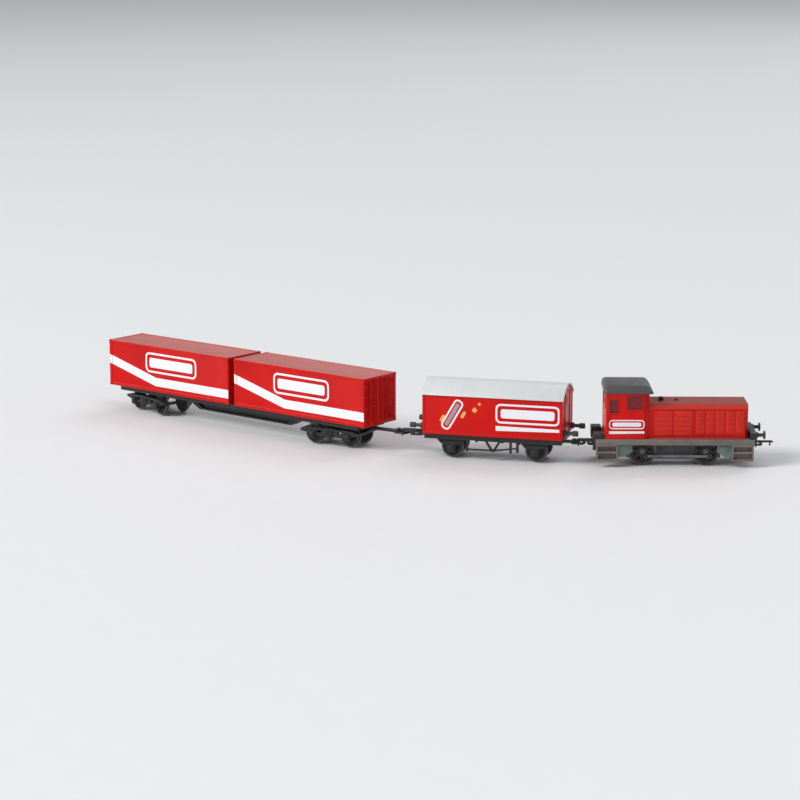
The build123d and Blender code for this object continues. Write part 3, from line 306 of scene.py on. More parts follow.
def satin_paint(name, colour, roughness=0.45, wear=0.2):
    """Satin coloured moulding with soft stains and a fine grain."""
    finish = Finish(name)
    stain = finish.noise(12, 5).step(0.3, 0.8)
    base = finish.mix(stain * wear, colour, scaled(colour, 0.62))
    grain = finish.noise(0.5, 2).step(0.4, 0.8)
    finish.set("Base Color", finish.mix(grain * 0.12, base, scaled(colour, 1.4)))
    finish.set("Roughness", roughness + stain * 0.15)
    finish.bump(finish.noise(0.35, 2) + finish.noise(3, 2) * 0.5, 0.02)
    return finish.material


def roof_streaks(name, colour, spots):
    """Painted roof whose stains run down from its ridge, with dark spots."""
    finish = Finish(name)
    streak = finish.noise(6, 4, (1, 0.18, 0.18)).step(0.42, 0.78)
    spot = finish.noise(1.2, 3).step(0.6, 0.85)
    base = finish.mix(streak * 0.3, colour, scaled(colour, 0.72))
    finish.set("Base Color", finish.mix(spot * spots, base, scaled(colour, 0.5)))
    finish.set("Roughness", 0.42 + streak * 0.2)
    finish.bump(finish.noise(0.5, 2) + streak * 0.4, 0.02)
    return finish.material


def black_moulding(name, roughness=0.42):
    """Black moulding with a fine texture and dry dirt on the surfaces that face up."""
    paint = colours()
    finish = Finish(name)
    up = finish.facing((0, 0, 1)).step(0.2, 1.0)
    dirt = finish.noise(2.2, 4).step(0.35, 0.8)
    share = dirt * (up * 0.5 + 0.18)
    finish.set("Base Color", finish.mix(share, paint.black, paint.grime))
    finish.set("Roughness", roughness + share * 0.3)
    finish.bump(finish.noise(0.3, 3), 0.03)
    return finish.material


def footplate_grey(name):
    """Brownish grey at the footplate and steps, greenish grey at the sand boxes behind the steps."""
    paint = colours()
    finish = Finish(name)
    forward = LOCO.to_3x3().col[0].normalized()
    lengthways = finish.along(forward, LOCO.translation).absolute()
    low = finish.along((0, 0, 1), LOCO.translation).step(SAND_BOX_TOP * MM, (SAND_BOX_TOP - 0.4) * MM)
    inner, outer = SAND_BOX_ENDS
    behind = lengthways.step(inner * MM, (inner + 0.3) * MM)
    boxes = lengthways.step(outer * MM, (outer - 0.3) * MM) * behind * low
    stain = finish.noise(7, 5).step(0.3, 0.8)
    base = finish.mix(boxes, paint.footplate, paint.sandbox)
    dirty = finish.mix(stain * 0.35, base, paint.grime)
    rub = finish.noise(1.1, 3).step(0.58, 0.8)
    finish.set("Base Color", finish.mix(rub * 0.3, dirty, scaled(paint.footplate, 1.9)))
    finish.set("Roughness", 0.42 + stain * 0.2)
    finish.bump(finish.noise(0.45, 3) + rub * 0.5, 0.03)
    return finish.material


def bare_metal(name, colour, roughness=0.3, stretch=(1, 1, 1), stain=0.3):
    """Metal with drawn marks and dull patches."""
    finish = Finish(name, Metallic=1.0)
    marks = finish.noise(0.8, 4, stretch)
    dull = finish.noise(4, 4).step(0.4, 0.8)
    finish.set("Base Color", finish.mix(dull * stain, colour, scaled(colour, 0.45)))
    finish.set("Roughness", roughness + marks * 0.18 + dull * 0.12)
    finish.bump(marks, 0.008)
    return finish.material


def wheel_finish(name, joint, tread_radius):
    """Black wheel whose tread and flange are polished by running."""
    paint = colours()
    centre = JOINTS[joint]["pos_m"]
    finish = Finish(name)
    distance = finish.distance(centre)
    sideways = finish.along(JOINTS[joint]["axis"], centre)
    radius = (distance * distance - sideways * sideways).root()
    tread = radius.step((tread_radius - 0.12) * MM, (tread_radius - 0.04) * MM)      # and the flange
    dirt = finish.noise(1.6, 4).step(0.35, 0.8)
    face = finish.mix(dirt * 0.45, paint.black, paint.grime)
    finish.set("Base Color", finish.mix(tread, face, scaled(paint.steel, 0.3)))
    finish.set("Metallic", tread)
    finish.set("Roughness", 0.45 - tread * 0.08 + dirt * 0.12)
    finish.bump(finish.noise(0.4, 3), 0.02)
    return finish.material


def shaded_interior_glazing(name):
    """Nearly opaque dark red sheet, painted shade for the dim red inside of the cab seen through it, with
    wiped dust on it.
    """
    finish = Finish(name, Roughness=0.1, Specular_IOR_Level=0.5)
    haze = finish.noise(3, 4).step(0.35, 0.85)
    finish.set("Base Color", finish.mix(haze * 0.4, (0.21, 0.003, 0.004), (0.30, 0.012, 0.01)))
    finish.set("Alpha", 0.87 + haze * 0.1)
    return finish.material


def print_ink(name, colour):
    """Thin pad-printed ink, a little uneven and slightly duller than what it is on."""
    finish = Finish(name)
    uneven = finish.noise(1.5, 4).step(0.3, 0.85)
    finish.set("Base Color", finish.mix(uneven * 0.18, colour, scaled(colour, 0.8)))
    finish.set("Roughness", 0.36 + uneven * 0.12)
    finish.bump(finish.noise(0.3, 2), 0.006)
    return finish.material


FINISHES = {}


def material_of(name):
    """The material of a name, made when it is first asked for."""
    if name not in FINISHES:
        FINISHES[name] = make_finish(name)
    return FINISHES[name]


def make_finish(name):
    """A new material, from the recipe of its name."""
    paint = colours()
    recipes = {
        "container_red": lambda: shell_red(name, dust_and_sheen=1.0, gloss=0.32),
        "van_red": lambda: shell_red(name, dust_and_sheen=0.2),
        "loco_red": lambda: shell_red(name, 0.9, 0.33, paint.hood_top_sheen_and_dirt, highlighted=True),
        "van_roof_grey": lambda: roof_streaks(name, paint.van_roof, 0.15),
        "cab_roof_grey": lambda: roof_streaks(name, paint.cab_roof, 0.25),
        "footplate_grey": lambda: footplate_grey(name),
        "black_moulding": lambda: black_moulding(name),
        "coupler_black": lambda: black_moulding(name, 0.36),
        "hook_metal": lambda: bare_metal(name, (0.075, 0.075, 0.08), 0.38),
        "buffer_grey": lambda: satin_paint(name, (0.035, 0.036, 0.038), 0.35),
        "axle_steel": lambda: bare_metal(name, scaled(paint.steel, 0.3), 0.4),
        # a nearly opaque dark red sheet: painted shade for the cab's inside
        "window_clear": lambda: shaded_interior_glazing(name),
        "bright_steel": lambda: bare_metal(name, paint.steel, 0.25, (1, 1, 6)),
        "rod_steel": lambda: bare_metal(name, scaled(paint.steel, 0.42), 0.36, (1, 1, 8), stain=0.6),
        "die_cast": lambda: bare_metal(name, (0.13, 0.13, 0.135), 0.5),
        "weight_steel": lambda: bare_metal(name, (0.33, 0.33, 0.34), 0.4),
        "motor_steel": lambda: bare_metal(name, (0.5, 0.51, 0.52), 0.3),
        "magnet_grey": lambda: satin_paint(name, (0.07, 0.07, 0.075), 0.6),
        "gear_nylon": lambda: satin_paint(name, (0.72, 0.70, 0.64), 0.4),
        "brass_strip": lambda: bare_metal(name, (0.14, 0.095, 0.05), 0.45),
        "print_white": lambda: print_ink(name, paint.white),
        "print_grey": lambda: print_ink(name, paint.print_grey),
        "print_amber": lambda: print_ink(name, paint.amber),
        "studio_floor": lambda: satin_paint(name, bpy.context.scene.train_studio.floor, 0.55, wear=0.0),
    }
    return recipes[name]()


# ---------------------------------------------------------------- mesh making
RIVET_DOME = [(1, -0.13), (1, 0.1), (0.82, 0.38), (0.4, 0.55)]      # shares of a rivet's radius
SAME_POINT = 0.002            # corners of a CAD node that are closer than this, in mm, are one
FLAT = radians(1)
SHARP = radians(30)


class Shape:
    """Closed bodies collected in one mesh, in a vehicle's own millimetres."""

    def __init__(self):
        self.mesh = bmesh.new()

    def block(self, x, y, z, soft=0.12):
        """Box between three pairs of limits, with softened edges."""
        corners = bmesh.ops.create_cube(self.mesh, size=1)["verts"]
        for corner in corners:
            share = corner.co + Vector((0.5, 0.5, 0.5))
            limits = ((min(pair), max(pair)) for pair in (x, y, z))
            corner.co = [low + (high - low) * part for (low, high), part in zip(limits, share)]
        edges = list(dict.fromkeys(edge for corner in corners for edge in corner.link_edges))
        bmesh.ops.bevel(self.mesh, geom=edges, offset=soft, segments=2, profile=0.5, affect="EDGES",
                        clamp_overlap=True)

    def ring(self, points):
        return [self.mesh.verts.new(point) for point in points]

    def skin(self, rings):
        """Faces between each ring of corners and the next ring."""
        count = len(rings[0])
        for first, second in zip(rings, rings[1:]):
            for k in range(count):
                after = (k + 1) % count
                self.mesh.faces.new((first[k], first[after], second[after], second[k]))

    def loops(self, rings):
        """Closed body over rings of points, capped at the first and the last ring."""
        made = [self.ring(points) for points in rings]
        self.skin(made)
        self.mesh.faces.new(list(reversed(made[0])))
        self.mesh.faces.new(made[-1])

    def turning(self, profile, centre, axis, sides=20):
        """Body turned from pairs of radius and height along an axis."""
        axis = Vector(axis).normalized()
        across = axis.orthogonal().normalized()
        other = axis.cross(across)
        angles = [2 * pi * k / sides for k in range(sides)]
        spokes = [across * cos(angle) + other * sin(angle) for angle in angles]
        rings = [[Vector(centre) + axis * height + spoke * radius for spoke in spokes]
                 for radius, height in profile]
        self.loops(rings)

    def wire(self, points, radius, sides=10):
        """Round wire through points."""
        points = [Vector(point) for point in points]
        rings = []
        side = None
        for k, point in enumerate(points):
            ahead = (points[min(k + 1, len(points) - 1)] - points[max(k - 1, 0)]).normalized()
            side = ahead.orthogonal() if side is None else side - ahead * side.dot(ahead)
            side.normalize()
            other = ahead.cross(side)
            angles = [2 * pi * n / sides for n in range(sides)]
            rings.append([point + (side * cos(a) + other * sin(a)) * radius for a in angles])
        self.loops(rings)

    def rivet(self, centre, axis, radius):
        """Low domed head, slightly sunk in what it holds."""
        dome = [(radius * share, radius * height) for share, height in RIVET_DOME]
        self.turning(dome, centre, axis, 12)

    def patch(self, outline, face, rise):
        """Flat print with an outline in X and Z, standing on a side face at Y = face."""
        self.loops([[(x, y, z) for x, z in outline] for y in print_levels(face, rise)])

    def border(self, outer, inner, face, rise):
        """Flat print between two outlines of as many points."""
        back, front = print_levels(face, rise)
        levels = [(outer, back), (outer, front), (inner, front), (inner, back)]
        made = [self.ring([(x, y, z) for x, z in outline]) for outline, y in levels]
        self.skin(made + made[:1])


def print_levels(face, rise):
    """Y of a print's back, sunk by half its rise, and of its front, on a side face at Y = face."""
    out = rise if face > 0 else -rise
    return face - out * 0.5, face + out


def oblong(middle, width, height, radius, lean=0.0, steps=6):
    """Outline of an oblong with round corners, leaning by an angle."""
    points = []
    corners = ((1, 1, 0), (-1, 1, 90), (-1, -1, 180), (1, -1, 270))
    for side_x, side_z, start in corners:
        for k in range(steps + 1):
            angle = radians(start + 90 * k / steps)
            x = side_x * (width / 2 - radius) + radius * cos(angle)
            z = side_z * (height / 2 - radius) + radius * sin(angle)
            turned = (x * cos(lean) - z * sin(lean), x * sin(lean) + z * cos(lean))
            points.append((middle[0] + turned[0], middle[1] + turned[1]))
    return points


def piece(name, shape, body, place, material, smooth=35):
    """Turns a shape into an object that rides on a body."""
    bmesh.ops.recalc_face_normals(shape.mesh, faces=shape.mesh.faces)
    shape.mesh.transform(place)
    data = bpy.data.meshes.new(name)
    shape.mesh.to_mesh(data)
    shape.mesh.free()
    data.shade_smooth()
    data.set_sharp_from_angle(angle=radians(smooth))
    data.materials.append(material_of(material))
    made = bpy.data.objects.new(name, data)
    bpy.context.scene.collection.objects.link(made)
    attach(made, body)
    return made


def softened(node, body, material, width=None):
    """Stands in for a CAD node with the same shape, its moulded edges rounded."""
    shape = Shape()
    mesh = shape.mesh
    mesh.from_mesh(frame["nodes"][node].data)
    bmesh.ops.remove_doubles(mesh, verts=mesh.verts, dist=SAME_POINT * MM)
    bmesh.ops.dissolve_limit(mesh, angle_limit=FLAT, verts=mesh.verts, edges=mesh.edges)
    width = (sizes().edge_softening if width is None else width) * MM
    sharp = [edge for edge in mesh.edges if edge.is_manifold and edge.calc_face_angle() > SHARP]
    bmesh.ops.bevel(mesh, geom=sharp, offset=width, segments=2, profile=0.5, affect="EDGES",
                    clamp_overlap=True)
    made = piece(node + "_moulding", shape, body, Matrix.Identity(4), material)
    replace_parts(made, node)
    return made


def both_sides(outlines, pivot):
    """Outlines for the right-hand side and, turned half round about X = pivot, for the left-hand side."""
    turned = [[(2 * pivot - x, z) for x, z in outline] for outline in outlines]
    return ((-1, outlines), (1, turned))


# ---------------------------------------------------------------- CAD nodes
DRIVING_TREAD = 7.75
CARRYING_TREAD = 6.0
WHEELS = {
    "loco_rear_wheels": ("rear_axle_spin", DRIVING_TREAD),
    "loco_front_wheels": ("front_axle_spin", DRIVING_TREAD),
}
for axle in ("van_front", "van_rear", "front_bogie_front", "front_bogie_rear", "rear_bogie_front",
             "rear_bogie_rear"):
    WHEELS[axle + "_wheelset"] = (axle + "_axle_spin", CARRYING_TREAD)
OWN_FINISH = {                # of the nodes that don't take the finish their slot is named after
    "front_container": "container_red",
    "rear_container": "container_red",
    "van_body": "van_red",
    "loco_body_shell": "loco_red",
    "front_container_base": "container_red",
    "rear_container_base": "container_red",
    "left_coupling_rod": "rod_steel",
    "right_coupling_rod": "rod_steel",
    "loco_rear_axle": "axle_steel",
    "loco_front_axle": "axle_steel",
    "loco_buffers": "buffer_grey",
    "van_buffers": "buffer_grey",
}


class TRAIN_OT_cad_finishes(bpy.types.Operator):
    """Give every CAD part its finish"""

    bl_idname = "train.cad_finishes"
    bl_label = "Part finishes"

    def execute(self, context):
        for name, part in frame["nodes"].items():
            slots = part.material_slots
            packed = slots[0].material.name.split(".")[0] if len(slots) and slots[0].material else ""
            if name in WHEELS:
                material = wheel_finish(name + "_finish", *WHEELS[name])
            else:
                material = material_of(OWN_FINISH.get(name, packed))
            if len(slots) == 0:
                part.data.materials.append(material)
            for slot in slots:
                slot.material = material
        return {"FINISHED"}


# ---------------------------------------------------------------- containers
CONTAINERS = {"front": 56.5, "rear": -56.5}        # middle of each container along the wagon
CONTAINER_LENGTH = 108.0
CONTAINER_HALF = 15.5
CONTAINER_LOW = 15.3
CONTAINER_HIGH = 45.8
POST_LOW = CONTAINER_LOW + 2.2                     # the corner posts between the castings
POST_HIGH = CONTAINER_HIGH - 2.0
PANEL_RECESS = 0.3
PANEL_EDGE = 2.2


class TRAIN_OT_containers(bpy.types.Operator):
    """Round the containers' edges and fit their corner castings and door gear"""

    bl_idname = "train.containers"
    bl_label = "Containers"

    def execute(self, context):
        for end, middle in CONTAINERS.items():
            body = end + "_load"
            softened(end + "_container", body, "container_red")
            piece(end + "_corner_castings", self.castings(middle), body, WAGON, "container_red")
            piece(end + "_door_gear", self.door_gear(middle), body, WAGON, "container_red")
        return {"FINISHED"}

    def castings(self, middle):
        """Eight corner blocks, each a little proud of the walls."""
        shape = Shape()
        proud = 0.12
        length, width = 2.4, 2.2
        levels = ((CONTAINER_LOW - 0.02, POST_LOW), (POST_HIGH, CONTAINER_HIGH + proud))
        for end in (-1, 1):
            edge = middle + end * CONTAINER_LENGTH / 2
            for side in (-1, 1):
                for level in levels:
                    x = (edge - end * length, edge + end * proud)
                    y = (side * (CONTAINER_HALF - width), side * (CONTAINER_HALF + proud))
                    shape.block(x, y, level, 0.2)
        return shape

    def door_gear(self, middle):
        """Locking bars with brackets and handles on both ends, and hinges at the corner posts."""
        shape = Shape()
        bars, handles = (-10.6, -5.4, 5.4, 10.6), (-8.0, 8.0)
        brackets, hinges = (18.5, 24.0, 34.5, 42.0), (19.0, 26.0, 33.0, 40.0)
        for end in (-1, 1):
            face = middle + end * (CONTAINER_LENGTH / 2 - PANEL_RECESS)
            front = face + end * 0.55
            for y in bars:
                shape.wire([(front, y, POST_LOW), (front, y, POST_HIGH)], 0.3)
                for z in brackets:
                    shape.block((face, front + end * 0.15), (y - 0.6, y + 0.6), (z, z + 0.9))
            for y in handles:
                shape.block((front, front + end * 0.3), (y - 2.6, y + 2.6), (27.2, 27.9))
            for side in (-1, 1):
                for z in hinges:
                    shape.block((face, front + end * 0.1), (side * 12.2, side * 14.6), (z, z + 1.1))
            shape.block((face, face + end * 0.35), (-0.3, 0.3), (CONTAINER_LOW + 2, CONTAINER_HIGH - 1.6))
        return shape


class TRAIN_OT_container_prints(bpy.types.Operator):
    """Print the bent white stripe and the empty label on both sides of each container"""

    bl_idname = "train.container_prints"
    bl_label = "Container prints"

    def execute(self, context):
        for end, middle in CONTAINERS.items():
            shape = Shape()
            self.stripe(shape, middle)
            self.labels(shape, middle)
            piece(end + "_container_prints", shape, end + "_load", WAGON, "print_white")
        return {"FINISHED"}

    def stripe(self, shape, middle):
        """A stripe of one width that falls from the rear edge and runs on level to the front edge.

        Its lines are pairs of a distance from the rear edge and a height. It is printed in three parts,
        because the panel lies a little deeper than the posts at its ends."""
        rise = sizes().print_rise
        rear = middle - CONTAINER_LENGTH / 2
        upper = [(0, 36.0), (43.0, 24.8), (CONTAINER_LENGTH, 24.8)]
        lower = [(0, 30.2), (42.3, 19.2), (CONTAINER_LENGTH, 19.2)]

        def height(line, u):
            for (u0, z0), (u1, z1) in zip(line, line[1:]):
                if u <= u1:
                    return z0 + (z1 - z0) * (u - u0) / (u1 - u0)
            return line[-1][1]

        margin = 0.25
        edges = (margin, PANEL_EDGE, CONTAINER_LENGTH - PANEL_EDGE, CONTAINER_LENGTH - margin)
        for start, stop, recess in zip(edges, edges[1:], (0, PANEL_RECESS, 0)):
            stops = [start] + [u for u in (lower[1][0], upper[1][0]) if start < u < stop] + [stop]
            outline = [(rear + u, height(lower, u)) for u in stops]
            outline += [(rear + u, height(upper, u)) for u in reversed(stops)]
            for side, outlines in both_sides([outline], middle):
                shape.patch(outlines[0], side * (CONTAINER_HALF - recess), rise)

    def labels(self, shape, middle):
        """An empty oblong frame with a plain bar in it."""
        rise = sizes().print_rise
        spot = (middle + 2.5, 34.6)
        outlines = [oblong(spot, 46, 13.4, 3.6), oblong(spot, 43.4, 10.8, 2.5), oblong(spot, 39, 6.4, 1.6)]
        for side, turned in both_sides(outlines, middle):
            face = side * (CONTAINER_HALF - PANEL_RECESS)
            shape.border(turned[0], turned[1], face, rise)
            shape.patch(turned[2], face, rise)


# ---------------------------------------------------------------- van
VAN_HALF = 16.5
VAN_END = 43.0
VAN_FLOOR = 14.6
VAN_EAVES = 38.7
VAN_AXLE = 26                 # from the middle of the van to each axle


class TRAIN_OT_van(bpy.types.Operator):
    """Round the van's edges and fit its straps, ventilators and axle-box lids"""

    bl_idname = "train.van"
    bl_label = "Van"

    def execute(self, context):
        softened("van_body", "van", "van_red")
        softened("van_roof", "van", "van_roof_grey")
        piece("van_straps", self.straps(), "van", VAN, "van_red")
        piece("van_ventilators", self.ventilators(), "van", VAN, "van_red")
        piece("van_frame_fittings", self.frame_fittings(), "van", VAN, "black_moulding")
        return {"FINISHED"}

    def straps(self):
        """Corner straps and the thin strip under the eaves."""
        shape = Shape()
        for side in (-1, 1):
            y = (side * (VAN_HALF - 0.1), side * (VAN_HALF + 0.18))
            for end in (-1, 1):
                x = (end * (VAN_END - 1.5), end * (VAN_END - 0.1))
                shape.block(x, y, (VAN_FLOOR + 1.4, VAN_EAVES - 0.2), 0.08)
            shape.block((-VAN_END + 0.1, VAN_END - 0.1), y, (VAN_EAVES - 1.2, VAN_EAVES - 0.4), 0.08)
        for end in (-1, 1):
            for side in (-1, 1):
                x = (end * (VAN_END - 0.1), end * (VAN_END + 0.2))
                shape.block(x, (side * 15.0, side * 16.4), (VAN_FLOOR + 0.6, VAN_EAVES), 0.08)
        return shape

    def ventilators(self):
        """A slatted ventilator high on each end."""
        shape = Shape()
        for end in (-1, 1):
            x = (end * (VAN_END - 0.1), end * (VAN_END + 0.35))
            for k in range(5):
                slat = 34.2 + k * 1.1
                shape.block(x, (-4.2, 4.2), (slat, slat + 0.6), 0.1)
            shape.block((x[0], end * (VAN_END + 0.22)), (-4.8, 4.8), (33.7, 39.7), 0.1)
        return shape

    def frame_fittings(self):
        """Axle-box lids, rivets along the solebars and a rivet row on each headstock."""
        shape = Shape()
        rivet = sizes().rivet_radius
        lid = [(1.5, -0.1), (1.5, 0.25), (1.1, 0.5), (0.5, 0.55)]
        for side in (-1, 1):
            for x in (-VAN_AXLE, VAN_AXLE):
                shape.turning(lid, (x, side * 14.35, CARRYING_TREAD), (0, side, 0), 16)
            for x in range(-39, 40, 6):
                shape.rivet((x, side * 14.5, 12.6), (0, side, 0), rivet)
        for end in (-1, 1):
            for y in (-12.5, -9.5, 9.5, 12.5):
                shape.rivet((end * (VAN_END - 0.6), y, 13.2), (end, 0, 0), rivet)
        return shape


class TRAIN_OT_van_prints(bpy.types.Operator):
    """Print the empty label, the slanted bar and the small accents on both sides of the van"""

    bl_idname = "train.van_prints"
    bl_label = "Van prints"

    def execute(self, context):
        rise = sizes().print_rise
        label, bar = (22.0, 29.4), (-24.5, 27.2)
        slant, leaf_slant, square = radians(60), radians(-30), radians(45)
        amber_rise = 0.6              # share of the other prints' rise, as amber lies partly under white
        borders = [(oblong(label, 39.4, 12.0, 3.2), oblong(label, 37.0, 9.6, 2.1)),
                   (oblong(bar, 20.5, 6.2, 2.6, slant), oblong(bar, 18.3, 4.0, 1.6, slant))]
        patches = {
            "van_label_bar": ("print_white", [oblong(label, 33, 5.6, 1.5),
                                              [(2.5, 18.7), (41.5, 19.6), (41.5, 21.4), (2.5, 21.7)]]),
            "van_slanted_bar": ("print_grey", [oblong(bar, 15.6, 2.2, 1.0, slant)]),
            "van_accents": ("print_amber", [oblong((-17.6, 27.4), 2.0, 4.6, 0.9, leaf_slant),
                                            oblong((-30.6, 24.6), 2.0, 4.6, 0.9, leaf_slant),
                                            oblong((-10.6, 30.6), 2.6, 2.6, 0.4, square),
                                            oblong((-7.6, 34.4), 1.6, 1.6, 0.3, square)]),
        }
        shape = Shape()
        for border in borders:
            for side, (outer, inner) in both_sides(border, 0):
                shape.border(outer, inner, side * VAN_HALF, rise)
        piece("van_label", shape, "van", VAN, "print_white")
        for name, (ink, outlines) in patches.items():
            shape = Shape()
            height = rise * amber_rise if ink == "print_amber" else rise
            for outline in outlines:
                for side, (turned,) in both_sides([outline], 0):
                    shape.patch(turned, side * VAN_HALF, height)
            piece(name, shape, "van", VAN, ink)
        return {"FINISHED"}


# ---------------------------------------------------------------- locomotive
HOOD_HALF = 13.5
HOOD_TOP = 37.3
HOOD_SHOULDER = 34.0          # where the hood's sides begin to round into its top
HOOD_FRONT = 43.5
CAB_HALF = 15.5
CAB_REAR = -41.5
CAB_FRONT = -15.5
FOOTPLATE_TOP = 16.5
FOOTPLATE_HALF = 16.5
SAND_BOX_ENDS = (24.5, 34.3)  # from the middle of the locomotive, on both sides of it
SAND_BOX_TOP = 15.2
ROOF_EAVES = 44.0
ROOF_CROWN = 49.8
SIDE_WINDOWS = (((-39.6, -34.1), (32.3, 40.9)), ((-29.0, -19.5), (34.5, 42.6)))


class TRAIN_OT_locomotive(bpy.types.Operator):
    """Round the locomotive's edges and fit its handrails, frames, hinges, rivets and lids"""

    bl_idname = "train.locomotive"
    bl_label = "Locomotive"

    def execute(self, context):
        softened("loco_body_shell", "locomotive", "loco_red", 0.15)
        grey = "cab_roof_grey"
        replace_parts(piece("cab_roof_moulding", self.roof(), "locomotive", LOCO, grey, 50), "cab_roof")
        softened("loco_footplate", "locomotive", "footplate_grey", 0.2)
        softened("loco_steps", "locomotive", "footplate_grey", 0.15)
        softened("loco_buffer_beams", "locomotive", "black_moulding", 0.2)
        piece("hood_beading", self.beading(), "locomotive", LOCO, "loco_red")
        piece("hood_door_fittings", self.door_fittings(), "locomotive", LOCO, "loco_red")
        piece("cab_window_frames", self.window_frames(), "locomotive", LOCO, "loco_red")
        piece("cab_handrails", self.handrails(), "locomotive", LOCO, "loco_red")
        piece("cab_roof_seams", self.roof_seams(), "locomotive", LOCO, "cab_roof_grey")
        piece("footplate_rivets", self.rivets(), "locomotive", LOCO, "footplate_grey")
        return {"FINISHED"}

    def roof(self):
        """Domed roof with rounded ends and a front that slopes back."""
        half = [(16.0, ROOF_EAVES), (16.0, 45.1), (15.75, 45.6), (15.0, 46.4), (14.2, 47.2), (13.4, 48.0),
                (12.6, 48.6), (11.6, 49.0), (10.2, 49.25), (7.5, 49.4), (3.5, 49.65)]
        profile = half + [(0.0, ROOF_CROWN)] + [(-y, z) for y, z in reversed(half)]
        slope, slope_start = 3.1 / 5.0, 44.8
        # Rings at each end: where each stands, and how far the crown is lowered there.
        rear = [(-1.0, 2.0), (-0.85, 1.25), (-0.4, 0.6), (0.3, 0.2), (1.1, 0.0)]
        front = [(-1.8, 0.0), (-1.0, 0.15), (-0.4, 0.5), (-0.1, 1.0), (0.0, 1.5)]
        rings = []
        for ends, lean, reach in ((rear, 0.0, CAB_REAR), (front, slope, CAB_FRONT + 2.1)):
            for x, drop in ends:
                narrow, low = 1 - 0.03 * drop, drop / (ROOF_CROWN - ROOF_EAVES)
                levels = [(y * narrow, z - low * (z - ROOF_EAVES)) for y, z in profile]
                rings.append([(reach + x - lean * max(0.0, z - slope_start), y, z) for y, z in levels])
        shape = Shape()
        shape.loops(rings)
        return shape

    def beading(self):
        """Ledges along the top and the foot of the hood's sides, and two joints across its top."""
        shape = Shape()
        for side in (-1, 1):
            y = (side * (HOOD_HALF - 0.1), side * (HOOD_HALF + 0.35))
            for z in ((34.25, 34.75), (FOOTPLATE_TOP, FOOTPLATE_TOP + 0.9)):
                shape.block((CAB_FRONT + 0.3, HOOD_FRONT - 1.7), y, z)
        half = HOOD_HALF - 3.2
        for x in (6.0, 24.0):
            shape.block((x, x + 0.3), (-half, half), (HOOD_TOP - 0.1, HOOD_TOP + 0.12), 0.05)
        return shape

    def door_fittings(self):
        """Two hinges and a latch on each of the hood's doors."""
        shape = Shape()
        face = HOOD_HALF + 0.25
        for side in (-1, 1):
            pin = side * (face + 0.15)
            for x in (-12.2, -0.4):
                for z in (20.2, 30.6):
                    shape.wire([(x, pin, z), (x, pin, z + 1.6)], 0.28, 8)
                latch = x + 10.2
                shape.block((latch, latch + 0.5), (side * (face - 0.1), side * (face + 0.45)), (25.4, 27.6))
        return shape

    def window_frames(self):
        """Raised frame round each side window."""
        shape = Shape()
        for side in (-1, 1):
            for x, z in SIDE_WINDOWS:
                middle = ((x[0] + x[1]) / 2, (z[0] + z[1]) / 2)
                wide, high = x[1] - x[0], z[1] - z[0]
                outer = oblong(middle, wide + 1.1, high + 1.1, 0.8)
                inner = oblong(middle, wide - 0.1, high - 0.1, 0.35)
                shape.border(outer, inner, side * CAB_HALF, 0.22)
        return shape

    def handrails(self):
        """Upright rails beside the cab door, standing off on short feet."""
        shape = Shape()
        radius = sizes().rail_radius
        low, high, bend = 19.5, 31.2, 0.45
        for side in (-1, 1):
            wall, out = side * (CAB_HALF - 0.1), side * (CAB_HALF + 0.75)
            for x in (-40.7, -17.0):
                points = [(x, wall, low), (x, out - side * bend, low), (x, out, low + bend),
                          (x, out, high - bend), (x, out - side * bend, high), (x, wall, high)]
                shape.wire(points, radius, 8)
        return shape

    def roof_seams(self):
        """Gutter strip above each side of the cab."""
        shape = Shape()
        for side in (-1, 1):
            y = (side * (CAB_HALF + 0.4), side * (CAB_HALF + 0.75))
            shape.block((CAB_REAR - 0.6, CAB_FRONT + 1.6), y, (44.05, 44.6), 0.1)
        return shape

    def rivets(self):
        """Rivet row along the valance, and lids on the sand boxes."""
        shape = Shape()
        radius = sizes().rivet_radius
        for side in (-1, 1):
            for k in range(-7, 8):
                shape.rivet((k * 6.4, side * FOOTPLATE_HALF, 14.6), (0, side, 0), radius * 0.8)
            for x in (-29.6, 29.6):
                shape.block((x - 2.6, x + 2.6), (side * 14.6, side * 15.15), (9.0, 12.6), 0.2)
        return shape


class TRAIN_OT_cab_prints(bpy.types.Operator):
    """Print the empty label and the stripe on both sides of the cab"""

    bl_idname = "train.cab_prints"
    bl_label = "Cab prints"

    def execute(self, context):
        rise = sizes().print_rise
        middle = (-29.0, 25.4)
        pivot = (CAB_REAR + CAB_FRONT) / 2 - 0.4
        outlines = [oblong(middle, 21.2, 5.6, 2.0), oblong(middle, 19.8, 4.2, 1.3),
                    oblong(middle, 17.2, 2.5, 0.9),
                    [(-39.6, 19.6), (-18.4, 20.0), (-18.4, 21.3), (-39.6, 21.3)]]
        shape = Shape()
        for side, turned in both_sides(outlines, pivot):
            face = side * CAB_HALF
            shape.border(turned[0], turned[1], face, rise)
            shape.patch(turned[2], face, rise)
            shape.patch(turned[3], face, rise)
        piece("cab_label", shape, "locomotive", LOCO, "print_white")
        return {"FINISHED"}


